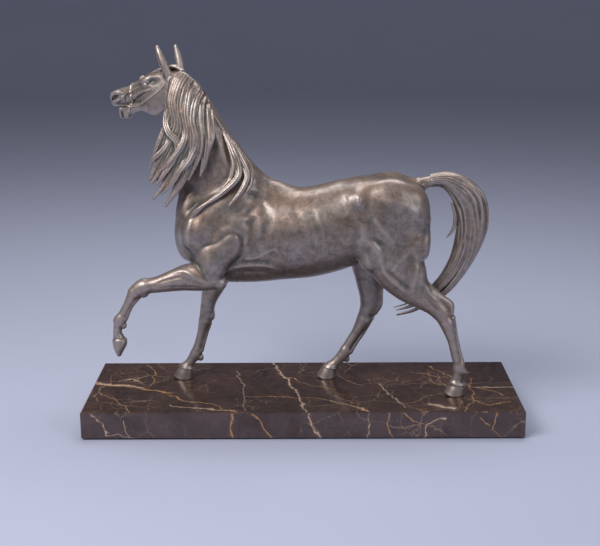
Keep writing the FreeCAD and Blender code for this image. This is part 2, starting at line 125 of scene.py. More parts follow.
class Clay:
    """A block of clay: a signed distance field on a regular grid."""

    def __init__(self, low, high, voxel):
        self.low = np.array(low, float)
        self.voxel = voxel
        counts = np.ceil((np.array(high, float) - self.low) / voxel).astype(int) + 1
        self.field = np.full(counts, FAR, np.float32)
        self.axes = [(self.low[i] + voxel * np.arange(counts[i])).astype(np.float32) for i in range(3)]

    def window(self, low, high):
        """The part of the grid between two corners, as (slices, x, y, z), or None if it is empty."""
        slices = []
        for axis in range(3):
            first = max(int(math.floor((low[axis] - self.low[axis]) / self.voxel)), 0)
            last = min(int(math.ceil((high[axis] - self.low[axis]) / self.voxel)) + 1, len(self.axes[axis]))
            if last - first < 2:
                return None
            slices.append(slice(first, last))
        x = self.axes[0][slices[0]][:, None, None]
        y = self.axes[1][slices[1]][None, :, None]
        z = self.axes[2][slices[2]][None, None, :]
        return tuple(slices), x, y, z

    def merge(self, slices, distance, blend, carve):
        if carve:
            self.field[slices] = smooth_max(self.field[slices], -distance, blend)
        else:
            self.field[slices] = smooth_min(self.field[slices], distance, blend)

    def blob(self, centre, radii, lean=0.0, blend=6.0, carve=False):
        """An ellipsoid: radii along its own axis, across (Y) and upright; lean tips its axis up from +X."""
        margin = max(radii) + blend + self.voxel
        box = self.window([c - margin for c in centre], [c + margin for c in centre])
        if box is None:
            return
        slices, x, y, z = box
        x, y, z = x - centre[0], y - centre[1], z - centre[2]
        cosine, sine = math.cos(math.radians(lean)), math.sin(math.radians(lean))
        along, upright = x * cosine + z * sine, z * cosine - x * sine
        distance = oval_distance([(along, radii[0]), (y, radii[1]), (upright, radii[2])])
        self.merge(slices, distance.astype(np.float32), blend, carve)

    def pair(self, centre, radii, lean=0.0, blend=6.0, carve=False):
        """The same ellipsoid on both sides of the horse."""
        for side in (NEAR_SIDE, OFF_SIDE):
            self.blob((centre[0], side * centre[1], centre[2]), radii, lean, blend, carve)

    def limb(self, stations, blend=4.0, cap=None, carve=False):
        """A body along a spine, by rows of x, y, z, half-size across the spine and half-size along Y."""
        rows = smooth_rows(stations, LIMB_STEPS)
        reach = rows[:, 3].max() + blend + self.voxel
        wide = rows[:, 4].max() + blend + self.voxel
        low = [rows[:, 0].min() - reach, rows[:, 1].min() - wide, rows[:, 2].min() - reach]
        high = [rows[:, 0].max() + reach, rows[:, 1].max() + wide, rows[:, 2].max() + reach]
        box = self.window(low, high)
        if box is None:
            return
        slices, x, y, z = box
        best = np.full((x.shape[0], 1, z.shape[2]), 1e9, np.float32)
        place = np.zeros_like(best)
        over = np.zeros_like(best)
        off = np.zeros_like(best)
        for index in range(len(rows) - 1):
            ax, az = rows[index, 0], rows[index, 2]
            dx, dz = rows[index + 1, 0] - ax, rows[index + 1, 2] - az
            length = math.hypot(dx, dz)
            raw = ((x - ax) * dx + (z - az) * dz) / length ** 2
            t = np.clip(raw, 0.0, 1.0)
            square = (x - ax - t * dx) ** 2 + (z - az - t * dz) ** 2
            nearer = square < best
            best = np.where(nearer, square, best)
            place = np.where(nearer, index + t, place)
            past = (raw - t) * length
            across = ((x - ax) * dz - (z - az) * dx) / length
            over = np.where(nearer, past, over)
            off = np.where(nearer, across, off)
        at_end = (place <= 0.0) | (place >= len(rows) - 1)
        ends = np.where(at_end, over, 0.0)
        off = np.where(at_end, off, np.sqrt(best))
        marks = np.arange(len(rows))
        middle = np.interp(place, marks, rows[:, 1])
        half = np.interp(place, marks, rows[:, 3])
        side = np.interp(place, marks, rows[:, 4])
        tip = np.minimum(half, side) if cap is None else cap
        distance = oval_distance([(off, half), (ends, tip), (y - middle, side)])
        self.merge(slices, distance.astype(np.float32), blend, carve)

    def cord(self, points, blend=1.0, carve=False):
        """A round cord through 3-D points with a radius each: rows of x, y, z, radius."""
        rows = smooth_rows(points, CORD_STEPS) if len(points) > 2 else np.array(points, float)
        self.cord_straight(rows, blend, carve)

    def skin(self, x, z, side):
        """Where the surface is on one side of the horse, straight in along Y at x and z."""
        column_x = int(round((x - self.low[0]) / self.voxel))
        column_z = int(round((z - self.low[2]) / self.voxel))
        if not (0 <= column_x < self.field.shape[0] and 0 <= column_z < self.field.shape[2]):
            return None
        column = self.field[column_x, :, column_z]
        inside = np.nonzero(column < 0.0)[0]
        if not len(inside):
            return None
        if side < 0:
            first = inside[0]
            before = max(first - 1, 0)
        else:
            first = inside[-1]
            before = min(first + 1, len(column) - 1)
        outer, inner = column[before], column[first]
        share = outer / (outer - inner) if outer > inner else 0.0
        return float(self.axes[1][before] + share * (self.axes[1][first] - self.axes[1][before]))

    def relief(self, points, side, width, height):
        """Raises (+) or sinks (-) the skin of one side softly along a line through (x, z) points."""
        path = smooth_rows(points, LINE_STEPS) if len(points) > 2 else np.array(points, float)
        reach = RELIEF_REACH * width
        box = self.window([path[:, 0].min() - reach, -1e3, path[:, 1].min() - reach],
                          [path[:, 0].max() + reach, 1e3, path[:, 1].max() + reach])
        if box is None:
            return
        slices, x, y, z = box
        x, z = x[:, 0, :], z[:, 0, :]
        best = np.full((x.shape[0], z.shape[1]), 1e9)
        place = np.zeros_like(best)
        for index in range(len(path) - 1):
            (ax, az), (bx, bz) = path[index], path[index + 1]
            dx, dz = bx - ax, bz - az
            t = np.clip(((x - ax) * dx + (z - az) * dz) / max(dx * dx + dz * dz, 1e-9), 0.0, 1.0)
            square = (x - ax - t * dx) ** 2 + (z - az - t * dz) ** 2
            nearer = square < best
            best = np.where(nearer, square, best)
            place = np.where(nearer, (index + t) / (len(path) - 1), place)
        taper = np.clip(np.minimum(place, 1.0 - place) * RELIEF_FADE + RELIEF_TIP, 0.0, 1.0)
        weight = height * taper * np.exp(-best / width ** 2)
        on_side = np.clip((side * y[0, :, 0] - RELIEF_START) / RELIEF_RISE, 0.0, 1.0)
        self.field[slices] -= (weight[:, None, :] * on_side[None, :, None]).astype(np.float32)

    def draw(self, points, side, radius, sink=0.0, blend=1.2, carve=False):
        """A ridge or a groove drawn on the skin through (x, z) points; its ends taper away."""
        reach = self.axes[1][-1] if side > 0 else -self.axes[1][0]
        if reach < SIDE_REACH:
            return
        path = smooth_rows(points, DRAWN_STEPS) if len(points) > 2 else np.array(points, float)
        rows = []
        for step, (px, pz) in enumerate(path):
            skin_y = self.skin(px, pz, side)
            if skin_y is None:
                continue
            share = step / (len(path) - 1)
            taper = min(1.0, DRAWN_SWELL * share + DRAWN_TIP, DRAWN_SWELL * (1.0 - share) + DRAWN_TIP)
            rows.append((px, skin_y - side * sink, pz, radius * taper))
        if len(rows) > 1:
            rows = np.array(rows)
            padded = np.pad(rows[:, 1], DRAWN_AVERAGE // 2, mode="edge")
            rows[:, 1] = np.convolve(padded, np.ones(DRAWN_AVERAGE) / DRAWN_AVERAGE, mode="valid")
            self.polyline(rows, blend, carve)

    def polyline(self, rows, blend, carve):
        """A cord through many close points, one small window at a time."""
        for start in range(0, len(rows) - 1, SPANS_AT_ONCE):
            self.cord_straight(rows[start:start + SPANS_AT_ONCE + 1], blend, carve)

    def cord_straight(self, rows, blend, carve):
        """A round cord with straight spans between its points."""
        rows = np.array(rows)
        reach = rows[:, 3].max() + blend + self.voxel
        box = self.window(rows[:, :3].min(0) - reach, rows[:, :3].max(0) + reach)
        if box is None:
            return
        slices, x, y, z = box
        distance = np.full((x.shape[0], y.shape[1], z.shape[2]), FAR, np.float32)
        for index in range(len(rows) - 1):
            a, b = rows[index], rows[index + 1]
            d = b - a
            length = max(float(d[0] ** 2 + d[1] ** 2 + d[2] ** 2), 1e-9)
            t = np.clip(((x - a[0]) * d[0] + (y - a[1]) * d[1] + (z - a[2]) * d[2]) / length, 0.0, 1.0)
            gap = np.sqrt((x - a[0] - t * d[0]) ** 2 + (y - a[1] - t * d[1]) ** 2
                          + (z - a[2] - t * d[2]) ** 2) - (a[3] + t * d[3])
            distance = np.minimum(distance, gap)
        self.merge(slices, distance.astype(np.float32), blend, carve)

    def floor(self):
        """Cuts everything off flat at the top of the marble."""
        self.field = np.maximum(self.field, (0.0 - self.axes[2])[None, None, :].astype(np.float32))

    def lock(self, rows, ridges, depth, blend, phase=0.0):
        """A lock of hair: rows of x, y, z, half-width, half-thickness and the way its flat face looks.

        Its cross-section is an oval with `ridges` fine ridges across it, `depth` millimetres deep.
        """
        rows = smooth_rows(rows, LINE_STEPS)
        spine = rows[:, :3]
        layer = np.full(self.field.shape, FAR, np.float32)
        run = np.linalg.norm(np.diff(spine, axis=0), axis=1)
        for index in range(len(rows) - 1):
            start, step = spine[index], spine[index + 1] - spine[index]
            length = max(float(run[index]), 1e-6)
            ahead = step / length
            wide = np.cross(ahead, rows[index, 5:8])
            wide /= max(np.linalg.norm(wide), 1e-6)
            thick = np.cross(wide, ahead)
            reach = max(rows[index:index + 2, 3].max(), rows[index:index + 2, 4].max()) + blend + 1.0
            low = np.minimum(spine[index], spine[index + 1]) - reach
            high = np.maximum(spine[index], spine[index + 1]) + reach
            box = self.window(low, high)
            if box is None:
                continue
            slices, x, y, z = box
            x, y, z = x - start[0], y - start[1], z - start[2]
            raw = x * ahead[0] + y * ahead[1] + z * ahead[2]
            t = np.clip(raw / length, 0.0, 1.0)
            over = raw - t * length
            u = x * wide[0] + y * wide[1] + z * wide[2]
            v = x * thick[0] + y * thick[1] + z * thick[2]
            half_wide = rows[index, 3] + t * (rows[index + 1, 3] - rows[index, 3])
            half_thick = rows[index, 4] + t * (rows[index + 1, 4] - rows[index, 4])
            cap = min(length, rows[index, 3]) + 0.3
            if 0 < index < len(rows) - 2:
                cap = 1.5 * length + 0.5
            distance = oval_distance([(u, half_wide), (v, half_thick), (over, cap)])
            if ridges:
                swing = math.pi * ridges * u / half_wide + phase + RIDGE_DRIFT * (index + t)
                fade = np.minimum(1.0, half_wide / RIDGE_HALF_WIDTH)
                distance = distance + depth * fade * (0.5 - 0.5 * np.cos(swing))
            layer[slices] = np.minimum(layer[slices], distance.astype(np.float32))
        self.field = smooth_min(self.field, layer, blend)

    def take(self, other, turn, here, there, blend):
        """Adds another block of clay, turned about the upright through its point `there`, set at `here`."""
        cosine, sine = math.cos(math.radians(turn)), math.sin(math.radians(turn))
        x, y = self.axes[0][:, None] - here[0], self.axes[1][None, :] - here[1]
        own_x = (x * cosine + y * sine + there[0] - other.low[0]) / other.voxel
        own_y = (y * cosine - x * sine + there[1] - other.low[1]) / other.voxel
        own_z = (self.axes[2] - other.low[2]) / other.voxel
        counts = other.field.shape
        for layer in range(len(self.axes[2])):
            if not 0.0 <= own_z[layer] <= counts[2] - 2:
                continue
            base_z = int(own_z[layer])
            part_z = own_z[layer] - base_z
            plate = other.field[:, :, base_z] * (1.0 - part_z) + other.field[:, :, base_z + 1] * part_z
            base_x = np.clip(np.floor(own_x).astype(int), 0, counts[0] - 2)
            base_y = np.clip(np.floor(own_y).astype(int), 0, counts[1] - 2)
            part_x, part_y = own_x - base_x, own_y - base_y
            value = (plate[base_x, base_y] * (1 - part_x) * (1 - part_y)
                     + plate[base_x + 1, base_y] * part_x * (1 - part_y)
                     + plate[base_x, base_y + 1] * (1 - part_x) * part_y
                     + plate[base_x + 1, base_y + 1] * part_x * part_y)
            outside = (own_x < 0) | (own_x > counts[0] - 1) | (own_y < 0) | (own_y > counts[1] - 1)
            value = np.where(outside, FAR, value).astype(np.float32)
            self.field[:, :, layer] = smooth_min(self.field[:, :, layer], value, blend)

    def mesh(self, name, relax=1):
        """The clay's surface as a Blender object in the frame, smoothed a little, with its hollows marked."""
        band = BAND_VOXELS * self.voxel
        grid = openvdb.FloatGrid(band)
        grid.copyFromArray(np.clip(self.field, -band, band))
        points, _, quads = grid.convertToPolygons(isovalue=0.0, adaptivity=0.0)
        place = (points * self.voxel + self.low) * MM
        place[:, 2] += DECK
        data = bpy.data.meshes.new(name)
        data.vertices.add(len(place))
        data.vertices.foreach_set("co", place.astype(np.float32).ravel())
        data.loops.add(quads.size)
        data.loops.foreach_set("vertex_index", quads.astype(np.int32).ravel())
        data.polygons.add(len(quads))
        data.polygons.foreach_set("loop_start", np.arange(0, quads.size, 4, dtype=np.int32))
        data.update(calc_edges=True)
        relax_mesh(data, relax)
        mark_hollows(data, self.voxel)
        data.shade_smooth()
        return add_object(name, data)


def object_of(clay, name):
    """Turns a bmesh into a smooth-shaded object."""
    data = bpy.data.meshes.new(name)
    clay.to_mesh(data)
    clay.free()
    data.shade_smooth()
    return add_object(name, data)


def add_object(name, data):
    """Puts an object with this data in the scene."""
    made = bpy.data.objects.new(name, data)
    bpy.context.scene.collection.objects.link(made)
    return made


def neighbour_mean(data):
    """A function that takes a row for each point to the mean of its neighbours' rows."""
    count = len(data.vertices)
    ends = np.empty(len(data.edges) * 2, np.int32)
    data.edges.foreach_get("vertices", ends)
    ends = ends.reshape(-1, 2)
    links = np.maximum(np.bincount(ends.ravel(), minlength=count), 1)

    def mean(rows):
        return np.stack([(np.bincount(ends[:, 0], rows[ends[:, 1], axis], count)
                          + np.bincount(ends[:, 1], rows[ends[:, 0], axis], count)) / links
                         for axis in range(3)], axis=1)
    return mean


def read_points(data, kind):
    """Every point's "co" or "normal" as an array."""
    rows = np.empty(len(data.vertices) * 3, np.float32)
    data.vertices.foreach_get(kind, rows)
    return rows.reshape(-1, 3).astype(float)


def relax_mesh(data, steps):
    """Evens out the grid's steps, almost without shrinking the shape."""
    mean = neighbour_mean(data)
    place = read_points(data, "co")
    for step in range(steps):
        place += RELAX_IN * (mean(place) - place)
        place -= RELAX_OUT * (mean(place) - place)
    data.vertices.foreach_set("co", place.astype(np.float32).ravel())
    data.update()


def mark_hollows(data, voxel):
    """Marks how far each point lies in a recess (+) or on a ridge (-), in millimetres: fine, then broad."""
    mean = neighbour_mean(data)
    place, normal = read_points(data, "co"), read_points(data, "normal")
    smooth = place.copy()
    done = 0
    for name, reach in (("hollow", HOLLOW_REACH), ("fold", FOLD_REACH)):
        steps = int(round((reach / voxel) ** 2))
        for step in range(done, steps):
            smooth = mean(smooth)
        done = steps
        depth = np.sum((smooth - place) * normal, axis=1) / MM
        mark = data.attributes.new(name, "FLOAT", "POINT")
        mark.data.foreach_set("value", depth.astype(np.float32))


def part_at(piece, cells, keep_inside):
    """Keeps what of a piece lies inside (or outside) these cells, and closes the cuts.

    A cell is the space ahead of its planes, each a point and a direction, and inside a box.
    """
    clay = bmesh.new()
    clay.from_mesh(piece.data)
    lift = Vector((0.0, 0.0, DECK))
    cells = [([(Vector(point) * MM + lift, Vector(normal).normalized()) for point, normal in planes],
              Vector(low) * MM + lift, Vector(high) * MM + lift) for planes, low, high in cells]
    for planes, low, high in cells:
        for spot, normal in planes:
            near = [face for face in clay.faces
                    if all(low[i] < face.verts[0].co[i] < high[i] for i in range(3))]
            near += list({edge for face in near for edge in face.edges})
            near += list({vert for edge in near if isinstance(edge, bmesh.types.BMEdge)
                          for vert in edge.verts})
            bmesh.ops.bisect_plane(clay, geom=near, dist=CUT_TOLERANCE, plane_co=spot, plane_no=normal)
    gone = []
    for face in clay.faces:
        middle = face.calc_center_median()
        inside = any(all(low[i] < middle[i] < high[i] for i in range(3))
                     and all((middle - spot).dot(normal) > 0.0 for spot, normal in planes)
                     for planes, low, high in cells)
        if inside != keep_inside:
            gone.append(face)
    bmesh.ops.delete(clay, geom=gone, context="FACES")
    rim = [edge for edge in clay.edges if edge.is_boundary]
    filled = bmesh.ops.holes_fill(clay, edges=rim, sides=0)
    for face in filled["faces"]:
        face.smooth = False
    for edge in rim:
        edge.smooth = False
    bmesh.ops.triangulate(clay, faces=filled["faces"])
    clay.to_mesh(piece.data)
    clay.free()


# ------------------------------------------------------------------ the horse
# Rows of a limb: x, y, z, half-size across the spine, half-size along Y.
def trunk(clay):
    """Barrel, chest, withers, loin and croup."""
    clay.limb([(-106, 0, 163, 34, 21), (-92, 0, 161, 44, 27), (-72, 0, 157.5, 49, 29), (-48, 0, 155, 47, 31),
               (-22, 0, 155.5, 45, 34.5), (4, 0, 157, 44, 36.5), (26, 0, 161.5, 43, 36.5), (46, 0, 168, 41.5,
                                                                                            34),
               (66, 0, 174.5, 38, 31), (86, 0, 180.5, 32, 28), (102, 0, 185, 24, 23)], blend=4, cap=17)
    clay.blob((-34, 0, 197), (27, 9, 13), lean=-17, blend=12)
    clay.pair((-106, 10, 158), (13, 12, 27), lean=4, blend=7)
    clay.pair((-108, 9.5, 180), (11, 10, 18), lean=10, blend=8)
    clay.pair((68, 14, 190), (34, 17, 20), lean=6, blend=8)
    clay.pair((96, 12, 193), (22, 13, 15), lean=-14, blend=8)
    clay.pair((54, 26, 191), (7, 5, 8), blend=10)


def shoulders(clay):
    """Shoulder blades, points of the shoulders, and the muscles over the elbows."""
    for side in (NEAR_SIDE, OFF_SIDE):
        clay.limb([(-98, 22 * side, 154, 19, 9.5), (-84, 22.5 * side, 170, 20, 9.5), (-70, 20.5 * side, 186,
                                                                                      17, 9),
                   (-58, 15 * side, 200, 12, 8), (-50, 9 * side, 209, 7, 6)], blend=8)
    clay.pair((-101, 19, 163), (17, 12, 13), lean=28, blend=6)
    clay.pair((-68, 24, 158), (16, 11, 26), lean=-28, blend=6)
    clay.pair((-82, 25, 138), (13, 10, 24), lean=-12, blend=6)


def quarters(clay):
    """Haunches, thighs and buttocks."""
    clay.pair((84, 21, 176), (30, 15, 36), lean=-8, blend=8)
    clay.pair((107, 17, 178), (15, 12, 27), lean=8, blend=7)
    clay.pair((66, 25, 160), (14, 9.5, 30), lean=-12, blend=7)


def near_fore(clay):
    """The raised foreleg, from the elbow to the toe."""
    clay.blob((-88, -25.5, 132), (12.5, 9.6, 15), lean=20, blend=8)
    clay.blob((-72, -26, 148), (11, 7.2, 14), lean=-35, blend=8)
    clay.limb([(-80, -25, 114, 8, 8), (-92, -26, 118, 12.5, 10.5), (-106, -26, 119.5, 13.5, 10.5),
               (-122, -26, 116.5, 10.2, 8.8), (-138, -26, 112.5, 7.6, 7), (-149, -26, 111, 6.6,
                                                                           6.4)], blend=4)
    clay.limb([(-78, -24, 111.5, 5, 6), (-96, -25, 112, 5, 6.5), (-118, -26, 110, 4, 5), (-144, -26, 106.5,
                                                                                          2.6, 4)],
              blend=2)
    clay.blob((-153.5, -26, 109.5), (7.4, 6.5, 7.2), lean=-40, blend=5)
    clay.blob((-159.5, -26, 105.5), (6.2, 5.8, 7.2), lean=-60, blend=5)
    clay.blob((-152, -26, 103.5), (4.2, 4, 4.4), blend=3)
    clay.limb([(-162, -26, 103, 5.6, 5.4), (-168, -26.3, 92, 4.2, 4.1), (-173.5, -26.5, 81, 4.4, 4.3)],
              blend=3)
    clay.limb([(-157, -26, 101, 3, 3), (-164.5, -26.3, 90.5, 2.1, 2.6), (-170.5, -26.5, 79, 2.6, 3)],
              blend=1.2)
    clay.blob((-176.5, -26.5, 76), (6.0, 5.1, 5.8), lean=-60, blend=4)
    clay.blob((-172.5, -26.5, 71.5), (3, 3.2, 3.4), blend=2)
    clay.limb([(-177.5, -26.5, 74, 4.6, 4.4), (-178.8, -26.5, 65, 4.2, 4.2), (-177.8, -26.5, 59, 5.6, 5.4)],
              blend=2)
    clay.limb([(-177.3, -26.5, 57.5, 6.8, 6.6), (-177, -26.5, 54.5, 7.2, 7), (-177.8, -26.5, 49, 5.6, 6.6),
               (-178.2, -26.5, 42.5, 2.6, 5)], blend=0.8, cap=2)


def off_fore(clay):
    """The standing foreleg, from the elbow to the hoof."""
    clay.limb([(-80, 20, 136, 14, 9), (-82, 23, 118, 14.5, 11), (-88, 25, 100, 11.8, 9.6), (-93, 26, 86, 8.6,
                                                                                            7.6),
               (-95.5, 26.4, 76, 7, 6.6)], blend=5)
    clay.blob((-96.8, 26.6, 67), (6.9, 6.4, 9.4), lean=-8, blend=5)
    clay.blob((-92, 26.6, 66), (3.6, 4, 5), blend=2.5)
    clay.limb([(-99, 26.7, 60, 6, 6), (-102.5, 26.9, 47, 4.4, 4.3), (-106.5, 27, 33, 4.3, 4.2)], blend=3)
    clay.limb([(-94.5, 26.7, 58, 3, 3), (-98, 26.9, 46, 2.2, 2.6), (-103, 27, 30, 2.6, 3)], blend=1.2)
    clay.blob((-109, 27, 25.5), (5.6, 5.1, 6.6), lean=-20, blend=4.5)
    clay.blob((-104, 27, 21.5), (3.2, 3.2, 3.6), blend=2)
    clay.limb([(-111, 27, 22, 5, 4.6), (-115.5, 27, 15.5, 4.9, 4.8), (-118, 27, 12, 6.4, 6.2)], blend=2)
    hoof(clay, -122.0, 27.0)


def near_hind(clay):
    """The trailing hind leg, from the thigh to the hoof."""
    clay.limb([(92, -17, 172, 27, 12), (91, -20, 160, 31, 13), (91, -22, 146, 31, 13), (92, -23.5, 128, 26,
                                                                                        13),
               (102, -24.5, 111, 18.5, 11), (115, -25.5, 98.5, 12.4, 8.8), (126, -26, 90, 9.6, 7.2),
               (134, -26, 81.5, 8.4, 6.7), (139, -26.3, 71, 6, 5.6), (142.5, -26.6, 61, 4.2,
                                                                      4)], blend=6, cap=5)
    clay.blob((68, -25, 140), (11, 9, 17), lean=-25, blend=5)
    clay.blob((109, -24, 119), (8.5, 9.5, 17), blend=8)
    clay.limb([(121, -25.5, 107, 4, 4), (134, -26, 97.5, 3.2, 3.4), (141.5, -26, 91, 3.8, 3.8), (143, -26,
                                                                                                 84, 3,
                                                                                                 3.4)],
                                                                                                 blend=5)
    clay.limb([(139.5, -26.3, 73, 7, 6.4), (143, -26.6, 61, 4.9, 4.6), (146, -27, 49, 4.3, 4.3),
               (149, -27, 37, 4.4, 4.3)], blend=3)
    clay.limb([(144.5, -26.3, 78, 2.8, 3.2), (147.5, -26.6, 61, 2.4, 2.7), (150.8, -27, 47, 2.2, 2.6),
               (154, -27, 34, 2.6, 3)], blend=1.2)
    clay.blob((151.6, -27, 27.5), (5.7, 5.2, 7), lean=10, blend=4.5)
    clay.blob((156.5, -27, 23.5), (3, 3.2, 3.6), blend=2)
    clay.limb([(151.5, -27, 24, 5.2, 4.7), (150.2, -27, 16.5, 5, 4.8), (149.4, -27, 12.5, 6.5, 6.3)], blend=2)
    hoof(clay, 147.5, -27.0)


def off_hind(clay):
    """The hind leg set well forward, from the thigh to the hoof."""
    clay.limb([(91, 17, 172, 27, 12), (86, 20, 160, 31, 13), (78, 22, 144, 29, 13), (68, 23.5, 122, 21, 12.5),
               (65.5, 24.5, 104, 13, 10), (66.5, 25.2, 89, 10, 7.8),
               (66.5, 26, 77, 8.8, 6.8), (62, 26.3, 65, 6.4, 5.8), (56, 26.6, 52, 4.2, 4)], blend=6, cap=5)
    clay.blob((82, 22.5, 114), (8, 9.5, 17), lean=8, blend=8)
    clay.limb([(77, 25, 98, 3.4, 3.8), (77.5, 25.6, 86, 3.2, 3.6), (76.5, 26, 77, 3.8, 3.8),
               (72.5, 26.2, 69, 3, 3.4)], blend=5)
    clay.limb([(62, 26.3, 61, 6.8, 6.4), (55.5, 26.7, 50, 4.9, 4.6), (49, 27, 40, 4.4, 4.3), (43.5, 27, 30.5,
                                                                                              4.4, 4.3)],
              blend=3)
    clay.limb([(69.5, 26.3, 64, 2.8, 3.2), (61, 26.7, 48, 2.4, 2.7), (54, 27, 37, 2.2, 2.6), (48.5, 27, 28,
                                                                                              2.6, 3)],
              blend=1.2)
    clay.blob((41.5, 27, 25), (5.7, 5.2, 7), lean=-35, blend=4.5)
    clay.blob((44.5, 27, 19.5), (3, 3.2, 3.4), blend=2)
    clay.limb([(39, 27, 22, 5.2, 4.7), (33, 27, 15.5, 5, 4.8), (29.5, 27, 12, 6.4, 6.2)], blend=2)
    hoof(clay, 23.5, 27.0)


def hoof(clay, x, y):
    """A standing hoof: wall flaring from the coronet to the ground, with its heels behind."""
    clay.limb([(x + 4.6, y, 13.2, 6.2, 5.9), (x + 4.2, y, 11.2, 7.5, 7.1)], blend=1.2, cap=1.2)
    clay.limb([(x + 4.0, y, 10.4, 7.1, 6.9), (x + 2, y, 5.4, 8.6, 8), (x, y, -0.6, 10, 9)], blend=0.5,
              cap=0.5)


def neck(clay):
    """Neck from the shoulders to the poll, with its crest and windpipe."""
    clay.limb([(-64, 0, 178, 42, 24), (-78, 0, 206, 36.5, 20.5), (-89, 0, 230, 31, 17), (-98, 0, 252, 25.5,
                                                                                         13.8),
               (-106, 0, 273, 21, 11.5), (-111, 0, 290, 17.5, 10)], blend=9)
    clay.limb([(-43, 0, 204, 10, 9), (-62, 0, 231, 7, 6.5), (-78, 0, 257, 6, 5.2), (-91, 0, 281, 6, 5),
               (-104, 0, 296, 7, 5.5)], blend=6)
    clay.limb([(-108, 0, 196, 10, 12), (-117, 0, 222, 8, 9), (-120, 0, 245, 7, 7.5), (-119, 0, 260, 6, 6)],
              blend=6)


# Soft lines on both sides: (x, z) points, half-width, and how far out of the skin, or into it if below 0.
LINES = [
    ([(-103, 141), (-92, 151), (-80, 155), (-71, 162), (-63, 163), (-57, 155), (-58, 144), (-65, 133)], 2.5,
     -0.83),
    ([(-102, 136), (-96, 127), (-91, 119), (-84, 115)], 2.2, -0.72),
    ([(-57, 141), (-64, 136), (-70, 130), (-75, 121), (-78, 115)], 2.0, -0.83),
    ([(-64, 181), (-54, 181), (-47, 184), (-40, 188), (-34, 183), (-31, 173), (-35, 162), (-42, 148)], 3.4,
     -0.72),
    ([(-60, 174), (-51, 178), (-43, 179), (-40, 170), (-43, 158)], 3.8, 0.79),
    ([(-58, 173), (-54, 167), (-52, 159), (-55, 149)], 2.7, 0.58),
    ([(-61, 165), (-57, 157), (-58, 147)], 2.2, -0.56),
    ([(-54, 206), (-42, 202), (-31, 195)], 3.8, 1.2),
    ([(-54, 198), (-43, 194), (-34, 189)], 3.1, -0.5),
    ([(-72, 207), (-88, 195), (-101, 187), (-110, 181)], 2.7, -0.74),
    ([(-76, 203), (-89, 191), (-98, 184), (-105, 177), (-108, 166)], 3.1, 1.2),
    ([(-106, 172), (-109, 161), (-107, 149), (-101, 140)], 2.9, 0.65),
    ([(-114, 178), (-114, 162), (-111, 149), (-104, 138)], 2.5, -0.88),
    ([(-119, 172), (-119, 150), (-115, 139), (-109, 131)], 2.2, -0.56),
    ([(-96, 172), (-84, 176), (-74, 186), (-66, 186)], 3.8, -0.43),
    ([(-88, 164), (-74, 170), (-66, 172)], 2.9, -0.37),
    ([(-56, 137), (-50, 137), (-43, 139), (-36, 143), (-29, 147), (-25, 147), (-22, 143)], 1.6, 0.58),
    ([(-72, 123), (-63, 128), (-55, 130), (-43, 131), (-33, 130), (-22, 125)], 2.5, 0.94),
    ([(-62, 134), (-51, 134), (-38, 134), (-28, 133)], 2.7, -0.77),
    ([(-58, 123), (-44, 124), (-30, 122)], 2.2, -0.5),
    ([(-128, 124), (-117, 127), (-109, 126), (-100, 120), (-90, 117), (-80, 116)], 1.7, 0.58),
    ([(-140, 114), (-126, 119), (-114, 121), (-102, 116)], 1.6, -0.5),
    ([(-138, 110), (-124, 112), (-110, 112), (-96, 112)], 1.3, -0.37),
    ([(53, 199), (53, 189)], 2.2, 0.9),
    ([(48, 200), (47, 192), (50, 185), (58, 184), (62, 190), (61, 199)], 3.4, -0.37),
    ([(74, 194), (87, 192), (96, 189), (105, 183), (113, 174)], 4.5, 0.94),
    ([(80, 185), (92, 181), (103, 172)], 5.6, -0.43),
    ([(120, 181), (118, 166), (115, 151), (113, 135), (109, 118), (105, 104)], 2.9, -0.77),
    ([(46, 184), (53, 175), (57, 165), (55, 155), (51, 145)], 4.3, 1.1),
    ([(62, 180), (65, 168), (69, 158), (79, 150)], 3.8, -1.2),
    ([(66, 179), (73, 170), (81, 160), (89, 151)], 3.1, 0.86),
    ([(56, 158), (67, 151), (73, 142), (76, 129), (81, 122), (89, 114), (102, 102)], 3.1, 1.1),
    ([(60, 149), (65, 141), (69, 130)], 2.9, -0.62),
    ([(84, 125), (89, 132), (94, 138), (101, 144)], 1.6, 0.5),
    ([(79, 134), (85, 134), (90, 130)], 1.5, 0.36),
    ([(79, 128), (91, 118), (104, 108)], 2.9, -0.94),
    ([(112, 134), (107, 117), (105, 104)], 2.5, 0.65),
    ([(117, 114), (122, 103), (130, 95)], 1.7, 0.5),
    ([(112, 112), (120, 98), (130, 88)], 1.6, -0.43),
    ([(-7, 190), (-2, 171), (1, 152), (3, 137)], 3.4, -0.25),
    ([(9, 187), (15, 167), (19, 149)], 3.4, -0.25),
    ([(25, 184), (31, 168), (33, 154)], 3.4, -0.22),
    ([(6, 182), (9, 164), (11, 146)], 1.6, -0.19),
    ([(14, 184), (19, 166), (22, 152)], 1.5, 0.18),
    ([(-85, 272), (-80, 252), (-74, 234), (-66, 219)], 3.1, 0.94),
    ([(-92, 268), (-88, 250), (-80, 230), (-72, 216)], 4.5, -0.62),
    ([(38, 199), (44, 198), (45, 186), (42, 176)], 2.9, 0.36),
]


def lines(clay):
    """Veins, folds and the edges of muscles."""
    for points, width, height in LINES:
        for side in (NEAR_SIDE, OFF_SIDE):
            clay.relief(points, side, width, height)


def horse(clay):
    """The whole animal but its head, mane and tail, wherever this block of clay reaches it."""
    trunk(clay)
    neck(clay)
    shoulders(clay)
    quarters(clay)
    near_fore(clay)
    off_fore(clay)
    near_hind(clay)
    off_hind(clay)
    tail_root(clay)
    lines(clay)
    clay.floor()


def tail_root(clay):
    clay.limb([(98, 0, 199, 9, 9), (110, 0, 203, 6.5, 6.5), (122, 0, 206, 5.6, 5.6), (134, 0, 208, 6.6, 6)],
              blend=7)


# ------------------------------------------------------------------ hair
HAIR_DEPTH = 0.6
